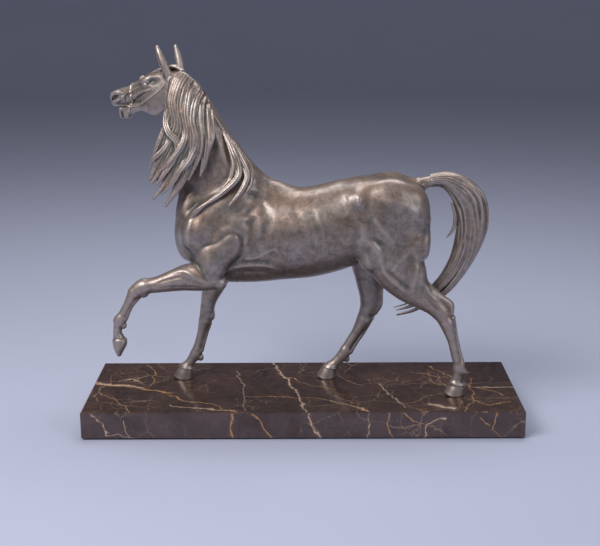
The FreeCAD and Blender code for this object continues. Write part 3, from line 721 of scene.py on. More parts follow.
# How a lock swells after its root and thins to its tip: shares of its length, and its size at all but the first.
STRAND_AT = [0.0, 0.15, 0.5, 0.8, 1.0]
STRAND_SIZES = [0.9, 1.0, 0.8, 0.22]
STRAND_LEAST_THICK = 0.35


def strand(clay, points, half_wide, half_thick, look=(0.0, -1.0, 0.0), ridges=3, blend=0.8, phase=0.0,
           root=0.7):
    """A lock through the points, from a root of this size to a thin tip, its flat face towards `look`."""
    face = Vector(look).normalized()
    rows = []
    for step, point in enumerate(points):
        share = step / (len(points) - 1)
        size = float(np.interp(share, STRAND_AT, [root, *STRAND_SIZES]))
        rows.append((*point, half_wide * size, half_thick * max(size, STRAND_LEAST_THICK), *face))
    clay.lock(rows, ridges, HAIR_DEPTH, blend, phase)


# Each lock of the mane: its points, half-width, half-thickness, and number of ridges.
MANE_LOCKS = [
    ([(-107, -6.5, 307), (-108, -11, 298), (-110, -14, 283), (-111, -17, 264), (-116, -19, 246)], 5, 3, 3),
    ([(-98, -6.5, 297), (-100, -11, 289), (-102, -15, 276), (-103, -19, 258), (-108, -22, 240)], 5, 3, 3),
    ([(-90, -6.5, 285), (-91, -11, 278), (-92, -15, 266), (-92, -20, 250), (-96, -23, 232)], 4.6, 2.8, 3),
    ([(-106, -6, 299), (-109, -11, 283), (-110, -15, 264), (-112, -17, 247), (-123, -19, 229), (-134, -20,
                                                                                                213)],
     14, 5.5, 5),
    ([(-111, -6.5, 309.5), (-117, -11, 303), (-122, -14, 287), (-122, -17, 271), (-129, -19, 255), (-135,
                                                                                                    -20,
                                                                                                    243),
                                                                                                    (-141,
                                                                                                     -21,
                                                                                                     228)],
     5, 3.2, 3),
    ([(-108, -6.5, 308.5), (-113.5, -12, 301), (-119, -16, 284), (-117, -19, 265), (-124, -22, 248), (-133,
                                                                                                      -23,
                                                                                                      231),
                                                                                                      (-143,
                                                                                                       -23,
                                                                                                       213)],
     6, 3.6, 4),
    ([(-104, -6.5, 305), (-110, -12, 297), (-114, -17, 279), (-112, -21, 260), (-120, -23, 241), (-130, -25,
                                                                                                  225),
                                                                                                  (-141, -25,
                                                                                                   210)],
     5.5, 3.4, 4),
    ([(-100, -6.5, 299.5), (-105, -13, 292), (-108, -19, 274), (-106, -23, 255), (-112, -25, 239), (-122,
                                                                                                    -26,
                                                                                                    218),
                                                                                                    (-139,
                                                                                                     -26,
                                                                                                     196)],
     6, 3.6, 4),
    ([(-95.5, -6.5, 293), (-99.5, -14, 286), (-103, -20, 269), (-101, -24, 251), (-105, -26, 233), (-115,
                                                                                                    -27,
                                                                                                    209),
                                                                                                    (-128,
                                                                                                     -27,
                                                                                                     189)],
     6, 3.6, 4),
    ([(-92, -6.5, 287), (-94, -14, 281), (-95, -20, 266), (-94, -24, 250), (-97, -26, 235), (-106, -27,
                                                                                             214)], 5, 3.2,
                                                                                             3),
    ([(-88.5, -6.5, 281), (-88.5, -13, 277), (-88, -18, 264), (-88, -23, 248), (-91, -25, 232), (-95, -25,
                                                                                                 217)], 4.4,
                                                                                                 3, 3),
    ([(-85.5, -6.5, 275), (-84.5, -14, 274), (-84, -18, 263), (-84, -22, 251), (-88, -24, 237), (-90, -24,
                                                                                                 224)], 3.4,
                                                                                                 2.4, 2),
    ([(-120, -12, 293), (-126, -17, 270), (-124, -22, 258), (-116, -25, 248), (-118, -27, 234), (-128, -28,
                                                                                                 220),
      (-136, -28, 209)], 4, 2.8, 3),
    ([(-112, -17, 272), (-108, -23, 258), (-112, -27, 245), (-123, -28, 231), (-132, -27, 222)], 3.6, 2.6, 3),
    ([(-100, -20, 262), (-98, -25, 247), (-105, -28, 232), (-115, -29, 221), (-122, -29, 212)], 4, 2.8, 3),
    ([(-116, -19, 262), (-122, -23, 250), (-131, -24, 240), (-139, -24, 233), (-143, -23, 224)], 3, 2.2, 2),
    ([(-104, -24, 240), (-112, -28, 226), (-121, -29, 212), (-131, -28, 200)], 3.4, 2.2, 2),
]
# The locks that lie over the withers and the shoulder.
SHOULDER_LOCKS = [
    ([(-69, -9, 250), (-60, -15, 238), (-53, -21, 225), (-51, -25, 215), (-57, -29, 203), (-68, -32, 190)],
     3.6, 2.6, 3),
    ([(-71, -9, 252), (-64, -16, 239), (-59, -21, 225), (-61, -26, 214), (-76, -30, 201), (-98, -31, 186)],
     3.8, 2.6, 3),
    ([(-73, -9, 254), (-67, -16, 240), (-64, -22, 226), (-67, -25, 213), (-76, -28, 204)], 3, 2.2, 2),
    ([(-66, -8, 246), (-56, -14, 234), (-48, -20, 221), (-48, -25, 209), (-54, -28, 199)], 2.8, 2, 2),
    ([(-84, -29, 195), (-96, -30, 187), (-103, -28, 179), (-108, -24, 167)], 2.6, 1.8, 2),
]
BRAID = [(-86, -4.5, 275), (-79, -5.5, 263), (-71, -6.5, 251), (-63, -8, 239)]
BRAID_STEPS = 16
BRAID_TURNS = 4.5
BRAID_SPREAD = 1.2
BRAID_RISE = 0.7
PLY_RADIUS = 1.5


def mane(clay):
    """The mane: a curtain down the near side, a braid along the crest, and long locks on the shoulder."""
    for index, (points, half_wide, half_thick, ridges) in enumerate(MANE_LOCKS):
        strand(clay, points, half_wide, half_thick, look=(-0.15, -1.0, 0.25), ridges=ridges, blend=0.9,
               phase=1.3 * index, root=0.85)
    for index, (points, half_wide, half_thick, ridges) in enumerate(SHOULDER_LOCKS):
        strand(clay, points, half_wide, half_thick, look=(0.1, -1.0, 0.35), ridges=ridges, blend=1.0,
               phase=0.9 * index, root=0.6)
    line = smooth_rows(BRAID, BRAID_STEPS)
    for ply in range(3):
        rows = []
        for step, point in enumerate(line):
            share = step / (len(line) - 1)
            size = min(1.0, 4.0 * (1.0 - share) + 0.4)
            turn = 2.0 * math.pi * (BRAID_TURNS * share + ply / 3.0)
            rows.append((point[0] + BRAID_SPREAD * math.cos(turn), point[1] + BRAID_SPREAD * math.sin(turn),
                         point[2] + BRAID_RISE * math.cos(turn), PLY_RADIUS * size))
        clay.polyline(rows, 0.5, False)


# The tail's outer and inner edges, seen from the side, from its root to its tip.
TAIL_OUTER = [(106, 209), (117, 211), (127, 213.5), (141, 215), (154, 212), (166, 205), (176, 194), (180,
                                                                                                     180),
              (180, 166), (176, 149), (168, 130), (157, 112), (144, 96), (128, 85), (110, 76), (94, 72)]
TAIL_INNER = [(106, 198), (117, 199), (127, 202), (135, 200), (141, 193), (145, 185), (148, 175), (149, 162),
              (148, 150), (145, 138), (140, 126), (133, 114), (124, 104), (113, 95), (100, 88), (88, 84)]
# Its half-size along Y in millimetres, and the share of it kept at shares of its length.
TAIL_HALF_DEPTH = 9.0
TAIL_DEPTH_AT = [0, 0.25, 0.6, 0.85, 1.0]
TAIL_DEPTH_SHARES = [0.5, 0.8, 1.0, 0.8, 0.3]
# The share of the outline that the core fills, and how far out the locks lie.
TAIL_CORE = 0.72
TAIL_LOCK_RING = 0.8
TAIL_LOCKS = 16
TAIL_LOCK_AT = [0.0, 0.12, 0.5, 0.78, 0.9, 1.0]
TAIL_LOCK_SIZES = [0.75, 0.9, 1.0, 0.62, 0.4, 0.12]


def tail_depth(share):
    """The tail's half-size along Y at a share of its length."""
    return TAIL_HALF_DEPTH * float(np.interp(share, TAIL_DEPTH_AT, TAIL_DEPTH_SHARES))


def tail(clay):
    """The tail: long locks gathered at the dock, arched over and falling in behind the near hind leg."""
    outer, inner = np.array(TAIL_OUTER, float), np.array(TAIL_INNER, float)
    middle, half = 0.5 * (outer + inner), 0.5 * np.linalg.norm(outer - inner, axis=1)
    across = (outer - inner) / (2.0 * half[:, None])
    count = len(middle)
    core = []
    for step in range(count):
        share = step / (count - 1)
        slim = TAIL_CORE * float(np.interp(share, [0.0, 0.72, 1.0], [1.0, 1.0, 0.12]))
        core.append((middle[step][0], 0.0, middle[step][1], slim * half[step], slim * tail_depth(share)))
    clay.limb(core, blend=1.0)
    dice = np.random.default_rng(11)
    for index in range(TAIL_LOCKS):
        around = 2.0 * math.pi * (index + 0.5) / TAIL_LOCKS
        first = 0 if index % 3 else int(dice.integers(1, 4))
        last = count - 1 - int(dice.integers(0, 3))
        drift = float(dice.uniform(-0.55, 0.55))
        wave = float(dice.uniform(0.0, 2.0 * math.pi))
        rows = []
        for step in range(first, last + 1):
            along = (step - first) / (last - first)
            angle = around + drift * along + 0.16 * math.sin(6.0 * along + wave)
            u, v = math.cos(angle), math.sin(angle)
            x = middle[step][0] + TAIL_LOCK_RING * u * half[step] * across[step][0]
            y = TAIL_LOCK_RING * v * tail_depth(step / (count - 1))
            z = middle[step][1] + TAIL_LOCK_RING * u * half[step] * across[step][1]
            size = float(np.interp(along, TAIL_LOCK_AT, TAIL_LOCK_SIZES))
            look = (u * across[step][0], v * 1.2, u * across[step][1])
            rows.append((x, y, z, (0.34 * half[step] + 0.8) * size, 2.4 * max(size, 0.3), *look))
        clay.lock(rows, 3, HAIR_DEPTH, 0.7, wave)
    strand(clay, [(144, -3, 186), (147.5, -3, 173), (146, -3, 161), (140, -2.5, 152)], 2.4, 1.8, ridges=2,
           blend=1.2)


# ------------------------------------------------------------------ the head
# Modelled straight, nose towards -X, then turned away from the near side about the poll.
HEAD_TURN = -26.0
POLL = (-114.0, 1.0)


def skull(clay):
    """Skull, jaws and muzzle."""
    clay.limb([(-104, 0, 284, 17, 10.5), (-113, 0, 294, 16, 10.5), (-122, 0, 296, 16.5, 11.5),
               (-134, 0, 294, 17, 12), (-146, 0, 292.5, 14.5, 11.4), (-157, 0, 290, 11.6, 9.2),
               (-168, 0, 287.5, 9.2, 7.2), (-178, 0, 285.5, 8.6, 6.4), (-185, 0, 284, 7.4,
                                                                        6.2)], blend=3, cap=5)
    clay.blob((-139, 0, 303.5), (14, 8.5, 7.2), lean=10, blend=4)
    clay.blob((-148, 0, 301.8), (6.5, 8, 5), lean=8, blend=2.5)
    clay.pair((-137.5, 9.2, 284.5), (14.5, 4.2, 14), blend=3)
    for side in (NEAR_SIDE, OFF_SIDE):
        clay.cord([(-146, side * 7.6, 277, 4.6), (-156, side * 5.4, 277.4, 3.6), (-166, side * 3.4, 274.4,
                                                                                  3.2),
                   (-175, side * 2, 271, 2.9)], blend=2.5)
        clay.cord([(-148, side * 3.4, 303.5, 2.6), (-160, side * 3, 298.4, 2.2), (-172, side * 2.4, 293.2,
                                                                                  2.0),
                   (-181, side * 2, 290.6, 2.0)], blend=2)
        clay.cord([(-150, side * 4, 278.5, 4.6), (-162, side * 3, 277.6, 4), (-172, side * 2, 275, 3.4),
                   (-178, side * 1.6, 273.6, 3.0)], blend=2)
    clay.blob((-174.5, 0, 268.4), (4.4, 4.4, 4.2), lean=10, blend=1.6)
    clay.limb([(-180.6, 0, 275, 2.6, 4.8), (-181, 0, 270, 2.2, 4.4), (-180.6, 0, 265.6, 1.6, 3.4)], blend=1.2)


def muzzle(clay):
    """Lips, mouth and nostrils."""
    clay.blob((-186.5, 0, 280), (5.6, 5.6, 4.6), lean=-10, blend=3)
    clay.pair((-184, 4.6, 286.6), (6.4, 3.2, 5), lean=35, blend=2.5)
    clay.limb([(-194, 0, 273.6, 1.6, 9), (-188, 0, 275, 1.1, 9), (-184, 0, 275.6, 0.5, 9)], blend=0.8,
              carve=True)
    for side in (NEAR_SIDE, OFF_SIDE):
        clay.draw([(-187, 275.2), (-181, 275.9), (-175.5, 276.3), (-170.5, 276.6)], side, 0.9, sink=0.1,
                  blend=0.8,
                  carve=True)
        clay.cord([(-187.4, side * 6.0, 282.8, 1.2), (-183.6, side * 7.4, 285.2, 2.2), (-179, side * 7.9,
                                                                                        287.4, 1.1)],
                  blend=0.8, carve=True)
        clay.draw([(-189.6, 282.4), (-188.4, 287.4), (-183.6, 290.4), (-177, 289.6)], side, 1.1, sink=0.2)
        clay.draw([(-188.4, 280.8), (-183, 281.4), (-178, 284), (-175, 287)], side, 0.95, sink=0.1)
        clay.draw([(-188.5, 276.8), (-181.5, 277.4), (-173.5, 277.6), (-168.5, 276.6)], side, 0.8, sink=0.1)
        clay.draw([(-168.6, 275.8), (-170.5, 271.5)], side, 0.6, sink=0.1, carve=True)


def eyes(clay):
    """Brows, sockets, lids and eyeballs."""
    clay.pair((-145.2, 9.6, 303.2), (7.2, 3.4, 3.6), lean=22, blend=2.5)
    clay.pair((-151.6, 7.4, 303.2), (3.2, 3, 4), lean=-10, blend=1.6)
    clay.pair((-136, 11.6, 303.6), (4.6, 2.2, 2.6), lean=20, blend=3, carve=True)
    clay.pair((-146.2, 12.8, 299), (4, 2.1, 2.6), lean=15, blend=1.4, carve=True)
    clay.pair((-146, 10.6, 299), (3, 2.4, 2.4), blend=0.3)
    for side in (NEAR_SIDE, OFF_SIDE):
        clay.draw([(-150.6, 297.4), (-148.4, 300.9), (-145, 302), (-141.2, 300.6)], side, 0.75, sink=-0.1,
                  blend=0.8)
        clay.draw([(-150.6, 297.2), (-147, 296.2), (-143, 297.2), (-140.6, 299.6)], side, 0.6, sink=0.0,
                  blend=0.8)
        clay.draw([(-141, 294.6), (-151, 291.8), (-160, 288.4), (-166.5, 285.4)], side, 1.1, sink=0.3,
                  blend=1.6)
        clay.draw([(-146, 292), (-154, 287.5), (-162, 283), (-168, 280)], side, 0.7, sink=0.1, blend=1.5,
                  carve=True)
        clay.draw([(-156, 296.5), (-163, 292.5), (-171, 289.6)], side, 0.7, sink=0.2, blend=1.2)
        clay.draw([(-167, 291), (-172, 286.5), (-173.5, 281.5)], side, 0.8, sink=0.1, blend=1.2, carve=True)


def ears(clay):
    """Two pricked ears, leaf-shaped and hollowed on their front faces."""
    clay.limb([(-120.6, -5.6, 304, 4.6, 4.6), (-123.4, -7.2, 311, 3.7, 3.8), (-127, -8.4, 319, 4.0, 3.6),
               (-130.6, -8.8, 327.6, 3.3, 2.8), (-133, -8.6, 334.4, 1.7, 1.6)], blend=2.0)
    clay.cord([(-125.6, -11.4, 310, 1.2), (-128.6, -12.6, 316.5, 2.2), (-131.6, -12.2, 324, 1.9),
               (-134, -10.6, 331, 0.6)], blend=0.8, carve=True)
    clay.limb([(-117.5, 6.3, 304, 4.8, 4.6), (-118.2, 8, 311, 3.9, 3.9), (-120, 9, 319, 4.2, 3.7),
               (-122.4, 9.6, 327.6, 3.3, 2.8), (-124.2, 9.6, 334.4, 1.7, 1.6)], blend=2.0)
    clay.cord([(-122.2, 8.2, 310.5, 1.1), (-124, 8.6, 316.5, 1.9), (-125.6, 9.4, 324, 1.7),
               (-126, 9.8, 331, 0.5)], blend=0.8, carve=True)


def forelock(clay):
    """The lock that falls between the ears and down the forehead."""
    strand(clay, [(-112, 0, 313), (-120, -0.4, 316.4), (-130, -0.8, 314.4), (-141, -1.6, 310.6), (-150, -3,
                                                                                                  305.6)],
           3.6, 1.9, look=(0.2, 0.0, 1.0), ridges=4, blend=1.0)
    strand(clay, [(-114, 3, 312), (-124, 4.4, 313), (-134, 4.4, 310.4), (-144, 3.4, 306.8)],
           2.4, 1.5, look=(0.2, 0.5, 1.0), ridges=3, blend=0.8)


def head(clay):
    skull(clay)
    muzzle(clay)
    eyes(clay)
    ears(clay)
    forelock(clay)


# The middle lines of the straps as (x, z) points, and their measures in millimetres.
HALTER_STRAPS = [
    [(-118.5, 307), (-125.7, 299.2), (-133, 292.4), (-146.8, 283.2), (-158, 278.8), (-167.5, 277.2)],
    [(-166.5, 300), (-165, 291), (-164.6, 283), (-167, 277), (-171, 266)],
    [(-119.5, 306), (-121.5, 298), (-122.5, 288), (-123.5, 276), (-127, 266)],
    [(-111, 313), (-115, 308.5), (-119, 306)],
]
STRAP_HALF_WIDTH = 1.25
STRAP_HEIGHT = 0.85
STRAP_ROOT = 0.6
STRAP_GROOVE = 0.5
STRAP_GROOVE_WIDTH = 0.4
STRAP_ROUNDING = 0.3


def halter(clay, skull_field):
    """Straps that hug the head: each follows a line seen from the side, as a grooved shell on the skin."""
    x, z = np.meshgrid(clay.axes[0], clay.axes[2], indexing="ij")
    shell = np.full(clay.field.shape, FAR, np.float32)
    for strap in HALTER_STRAPS:
        line = np.full(x.shape, FAR, np.float32)
        path = smooth_rows(strap, LINE_STEPS)
        for (ax, az), (bx, bz) in zip(path[:-1], path[1:]):
            dx, dz = bx - ax, bz - az
            t = np.clip(((x - ax) * dx + (z - az) * dz) / (dx * dx + dz * dz), 0.0, 1.0)
            line = np.minimum(line, np.hypot(x - ax - t * dx, z - az - t * dz))
        line = line[:, None, :]
        height = STRAP_HEIGHT - STRAP_GROOVE * np.exp(-(line / STRAP_GROOVE_WIDTH) ** 2)
        skin = np.maximum(skull_field - height, -(skull_field + STRAP_ROOT))
        shell = np.minimum(shell, smooth_max(skin, line - STRAP_HALF_WIDTH, STRAP_ROUNDING))
    clay.field = shell.astype(np.float32)


def turn_head(piece):
    """Turns a head piece's mesh about the poll, away from the near side."""
    pivot = Vector((POLL[0] * MM, POLL[1] * MM, 0.0))
    piece.data.transform(Matrix.Translation(pivot) @ Matrix.Rotation(math.radians(HEAD_TURN), 4, "Z")
                         @ Matrix.Translation(-Vector((POLL[0] * MM, 0.0, 0.0))))


# ------------------------------------------------------------------ the castings
# Where one casting meets the next: planes, each as a point and the way that faces into the outer casting,
# and the corners of the box that the cut keeps to.
SEAMS = {
    "near_foreleg": ([((-104, -24.5, 121), (-0.989, 0, -0.148)), ((-104, -26, 136), (0, -0.555, -0.832))],
                     (-250, -60, 0), (-90, -4, 150)),
    "off_foreleg": ([((-88, 24.5, 99), (-0.32, 0, -0.947))], (-160, 4, -20), (-50, 60, 125)),
    "near_hindleg": ([((103, -23.5, 109), (0.627, 0, -0.779))], (60, -60, -20), (190, -4, 150)),
    "off_hindleg": ([((65, 24, 103), (-0.095, 0, -0.995))], (0, 4, -20), (120, 60, 125)),
    "tail_casting": ([((124, 0, 205), (0.98, 0, 0.2))], (112, -40, 190), (150, 40, 230)),
    "neck_casting": ([((-79, 0, 208), (-0.469, 0, 0.883))], (-150, -60, 150), (-20, 60, 400)),
    "head_casting": ([((-115, 0, 294), (-0.95, 0, 0.312))], (-250, -60, 230), (-90, 60, 400)),
}

COARSE = 1.0
LIMB_CASTINGS = ("near_foreleg", "off_foreleg", "near_hindleg", "off_hindleg")
# The space each casting is modelled in, and how fine its clay is, in millimetres.
BLOCKS = {
    "torso_casting": ((-128, -43, 92), (132, 43, 238), 1.05),
    "neck_casting": ((-134, -30, 178), (-32, 30, 324), 0.6),
    "head_casting": ((-200, -24, 252), (-92, 24, 342), 0.42),
    "near_foreleg": ((-190, -42, 36), (-94, -8, 144), 0.5),
    "off_foreleg": ((-138, 10, -2), (-64, 42, 114), 0.5),
    "near_hindleg": ((74, -42, -2), (168, -8, 134), 0.5),
    "off_hindleg": ((6, 10, -2), (94, 42, 116), 0.5),
    "mane_casting": ((-152, -36, 160), (-42, 4, 316), 0.56),
    "tail_casting": ((80, -16, 64), (186, 16, 222), 0.5),
}
# How softly the head and the neck run into each other.
HEAD_JOIN = 5.0


def block(name):
    """An empty block of clay for one casting."""
    low, high, voxel = BLOCKS[name]
    return Clay(low, high, voxel * COARSE)


# The head's clay is straight, so it is turned into the neck's, and the bare neck is turned back into it.
straight_head = block("head_casting")
head(straight_head)

neck_clay = block("neck_casting")
horse(neck_clay)
bare_neck = neck_clay.field.copy()
neck_clay.take(straight_head, HEAD_TURN, POLL, (POLL[0], 0.0), HEAD_JOIN)
neck_piece = neck_clay.mesh("neck_cast")
part_at(neck_piece, [SEAMS["neck_casting"]], True)
part_at(neck_piece, [SEAMS["head_casting"]], False)

neck_clay.field = bare_neck
straight_head.take(neck_clay, -HEAD_TURN, (POLL[0], 0.0), POLL, HEAD_JOIN)
head_piece = straight_head.mesh("head_cast")
turn_head(head_piece)
part_at(head_piece, [SEAMS["head_casting"]], True)

strap_clay = block("head_casting")
halter(strap_clay, straight_head.field)
halter_piece = strap_clay.mesh("halter_straps")
turn_head(halter_piece)

torso_clay = block("torso_casting")
horse(torso_clay)
torso_piece = torso_clay.mesh("torso_cast")
part_at(torso_piece, [seam for name, seam in SEAMS.items() if name != "head_casting"], False)

castings = {"torso_casting": torso_piece, "neck_casting": neck_piece, "head_casting": head_piece}
for name in LIMB_CASTINGS:
    clay = block(name)
    horse(clay)
    castings[name] = clay.mesh(name + "_cast")
    part_at(castings[name], [SEAMS[name]], True)

mane_clay = block("mane_casting")
mane(mane_clay)
castings["mane_casting"] = mane_clay.mesh("mane_locks", relax=2)

tail_clay = block("tail_casting")
tail_root(tail_clay)
tail(tail_clay)
castings["tail_casting"] = tail_clay.mesh("tail_locks", relax=2)
(dock, ahead), = SEAMS["tail_casting"][0]
part_at(castings["tail_casting"], [([(dock, (-ahead[0], 0, -ahead[2]))], *SEAMS["tail_casting"][1:])], False)


# ------------------------------------------------------------------ materials
class Nodes:
    """A material's nodes, made and linked in one go."""

    def __init__(self, name):
        self.material = bpy.data.materials.new(name)
        self.material.use_nodes = True
        self.tree = self.material.node_tree
        self.shader = self.tree.nodes["Principled BSDF"]

    def add(self, kind, settings=None, **inputs):
        node = self.tree.nodes.new(kind)
        for key, value in (settings or {}).items():
            setattr(node, key, value)
        for key, value in inputs.items():
            self.put(node, key, value)
        return node

    def put(self, node, key, value):
        """Sets an input, by its name or number, or links it if the value is an output."""
        numbered = key[0] == "_" and key[1:].isdigit()
        socket = node.inputs[int(key[1:]) if numbered else key.replace("_", " ")]
        if isinstance(value, bpy.types.NodeSocket):
            self.tree.links.new(value, socket)
        else:
            socket.default_value = value

    def shade(self, **inputs):
        """Sets or links inputs of the shader."""
        for key, value in inputs.items():
            self.put(self.shader, key, value)

    def noise(self, scale, detail=3.0, rough=0.5, distort=0.0):
        node = self.add("ShaderNodeTexNoise", Scale=scale, Detail=detail, Roughness=rough, Distortion=distort)
        self.put(node, "Vector", self.place())
        return node.outputs["Fac"]

    def place(self):
        if not hasattr(self, "spot"):
            self.spot = self.add("ShaderNodeTexCoord").outputs["Object"]
        return self.spot

    def span(self, value, low, high, out_low=0.0, out_high=1.0):
        """Maps a range of a value onto another, held at its ends."""
        node = self.add("ShaderNodeMapRange", {"clamp": True}, _0=value, _1=low, _2=high, _3=out_low,
                        _4=out_high)
        return node.outputs[0]

    def math(self, kind, first, second=0.0, clamp=False):
        return self.add("ShaderNodeMath", {"operation": kind, "use_clamp": clamp}, _0=first,
                        _1=second).outputs[0]

    def mix(self, share, first, second):
        return self.add("ShaderNodeMix", {"data_type": "RGBA"}, _0=share, _6=first, _7=second).outputs[2]

    def dot(self, vector, constant):
        """The size of the vector's dot product with a constant one."""
        node = self.add("ShaderNodeVectorMath", {"operation": "DOT_PRODUCT"}, _0=vector, _1=constant)
        return self.math("ABSOLUTE", node.outputs["Value"])

    def mix_value(self, share, first, second):
        return self.add("ShaderNodeMix", {"data_type": "FLOAT"}, _0=share, _2=first, _3=second).outputs[0]

    def bump(self, height, strength, distance, normal=None):
        node = self.add("ShaderNodeBump", Strength=strength, Distance=distance, Height=height)
        if normal is not None:
            self.put(node, "Normal", normal)
        return node.outputs["Normal"]


# Colours of each bronze: where it faces up (partly a patina rubbed brown, partly a painted reflection of what
# lies above), elsewhere, in the hollows, and rubbed on the ridges.
BODY_COLOURS = ((0.235, 0.157, 0.118, 1.0), (0.245, 0.21, 0.195, 1.0), (0.055, 0.056, 0.05, 1.0),
                (0.47, 0.4, 0.375, 1.0))
HALTER_COLOURS = ((0.33, 0.255, 0.215, 1.0), (0.27, 0.225, 0.2, 1.0), (0.06, 0.055, 0.048, 1.0),
                  (0.6, 0.52, 0.46, 1.0))
PIN_COLOURS = ((0.3, 0.235, 0.2, 1.0), (0.26, 0.22, 0.205, 1.0), (0.07, 0.065, 0.06, 1.0),
               (0.5, 0.42, 0.38, 1.0))
# The grey-green of the broad folds.
PATINA = (0.22, 0.235, 0.215, 1.0)
BRONZE_METALLIC = 0.72
WAX_WEIGHT = 0.5
WAX_ROUGHNESS = 0.2
WAX_IOR = 1.6


def bronze(name, up_brown_and_painted_reflection, cool, recess, polish):
    """Waxed cast bronze: browner above (partly rubbed patina, partly painted reflection), cool below, grey-green
    in folds, dark in hollows, rubbed on ridges.
    """
    nodes = Nodes(name)
    fine_hollow = nodes.add("ShaderNodeAttribute", {"attribute_name": "hollow"}).outputs["Fac"]
    fold = nodes.add("ShaderNodeAttribute", {"attribute_name": "fold"}).outputs["Fac"]
    hollow = nodes.math("ADD", nodes.math("MULTIPLY", fine_hollow, 1.2), nodes.math("MULTIPLY", fold, 0.55))
    up = nodes.add("ShaderNodeSeparateXYZ",
                   _0=nodes.add("ShaderNodeNewGeometry").outputs["Normal"]).outputs["Z"]
    cloud = nodes.noise(30.0, 4.0, 0.6, 0.6)
    mottle = nodes.noise(150.0, 6.0, 0.7, 0.5)
    speck = nodes.noise(900.0, 2.0, 0.5)
    # Facing up moves the colour to the upward tint: partly a rubbed brown patina, partly a painted reflection.
    # The cloud adds random tone.
    warmth = nodes.math("ADD", nodes.span(up, 0.0, 0.95, 0.0, 0.75), nodes.span(cloud, 0.38, 0.64, -0.25,
                                                                                0.75), True)
    colour = nodes.mix(warmth, cool, up_brown_and_painted_reflection)
    colour = nodes.mix(nodes.span(mottle, 0.46, 0.62, 0.0, 0.5), colour, recess)
    colour = nodes.mix(nodes.span(mottle, 0.5, 0.36, 0.0, 0.2), colour, polish)
    colour = nodes.mix(nodes.span(fold, 0.05, 0.6, 0.0, 0.5), colour, PATINA)
    colour = nodes.mix(nodes.span(hollow, 0.05, 0.5, 0.0, 0.8), colour, recess)
    colour = nodes.mix(nodes.span(hollow, -0.04, -0.45, 0.0, 0.55), colour, polish)
    rough = nodes.math("ADD", nodes.span(mottle, 0.3, 0.7, 0.42, 0.54), nodes.span(hollow, 0.0, 0.35, 0.0,
                                                                                   0.2))
    rough = nodes.math("SUBTRACT", rough, nodes.span(cloud, 0.5, 0.75, 0.0, 0.06), True)
    soft = nodes.bump(nodes.noise(120.0, 3.0, 0.55, 0.3), 0.25, 0.0006)
    fine = nodes.bump(nodes.math("ADD", speck, mottle), 0.12, 0.00025, soft)
    nodes.shade(Base_Color=colour, Metallic=BRONZE_METALLIC, Roughness=rough, Normal=fine,
                Coat_Weight=WAX_WEIGHT, Coat_Roughness=WAX_ROUGHNESS, Coat_IOR=WAX_IOR)
    return nodes.material


bronze_finish = bronze("bronze_patina", *BODY_COLOURS)
halter_finish = bronze("halter_patina", *HALTER_COLOURS)

# Veins of the marble on its top, as x, y in millimetres, their width, and 0 for cream to 1 for orange.
TOP_VEINS = [
    ([(-211, 11), (-178, 2), (-160, -3)], 2.3, 0.2),
    ([(-206, 7), (-186, 2), (-172, -4)], 1.2, 0.6),
    ([(-157, -8), (-129, -20)], 1.7, 0.9),
    ([(-132, -26), (-114, -43), (-84, -54), (-61, -77)], 0.75, 0.6),
    ([(-128, -54), (-105, -61), (-66, -68)], 0.9, 0.1),
    ([(-34, 87), (-25, 50), (-7, -21), (7, -90)], 1.25, 0.15),
    ([(-55, -32), (-19, -30), (29, -44), (64, -75)], 0.65, 0.9),
    ([(29, -44), (50, -62), (66, -76)], 0.9, 0.3),
    ([(-16, 24), (8, 4), (30, -10)], 0.45, 0.5),
    ([(76, 2), (84, -24), (98, -66)], 0.7, 0.1),
    ([(121, -54), (130, -60), (144, -67)], 3.2, 0.1),
    ([(109, 42), (140, 26), (172, 38)], 0.5, 0.7),
    ([(170, 22), (166, -40), (153, -76)], 0.5, 0.6),
    ([(176, -5), (211, -6)], 1.0, 0.2),
    ([(158, -37), (179, -54), (197, -46)], 0.55, 0.8),
    ([(132, 60), (158, 14), (196, -30)], 0.5, 0.8),
    ([(-185, 20), (-176, 26), (-165, 13)], 1.1, 0.3),
    ([(-161, 68), (-151, 35), (-153, 1)], 0.5, 0.6),
    ([(-68, 44), (-57, -12), (-56, -71)], 0.4, 0.4),
    ([(-200, -20), (-170, -52), (-160, -76)], 0.5, 0.5),
    ([(20, 70), (34, 30), (60, -2)], 0.45, 0.7),
]
# Veins on the front face, as x and the height above the table.
FRONT_VEINS = [
    ([(-67, 28), (-65, 0)], 1.1, 0.7),
    ([(-48, 28), (-40, 12), (-30, 2)], 0.8, 0.8),
    ([(8, 28), (16, 0)], 1.2, 0.1),
    ([(79, 28), (82, 12), (89, 0)], 0.75, 0.6),
    ([(64, 28), (62, 0)], 0.4, 0.3),
    ([(112, 0), (115, 11), (123, 16), (135, 18)], 0.9, 0.1),
    ([(-168, 20), (-164, 4)], 0.6, 0.3),
    ([(168, 23), (176, 16)], 0.6, 0.6),
    ([(95, 25), (111, 15)], 0.45, 0.6),
    ([(-196, 26), (-184, 8), (-158, 2)], 0.4, 0.3),
    ([(184, 28), (178, 12), (190, 2)], 0.45, 0.5),
]
# The front face is read as a strip laid this far behind the top, in metres, so one set of veins serves both.
FRONT_SHIFT = 1.0
# How far the veins are pushed about, in metres, and the warmth from which they are orange.
VEIN_PUSH = 0.022
VEIN_WARM = 0.45
CREAM = (0.56, 0.4, 0.3, 1.0)
ORANGE = (0.5, 0.27, 0.12, 1.0)


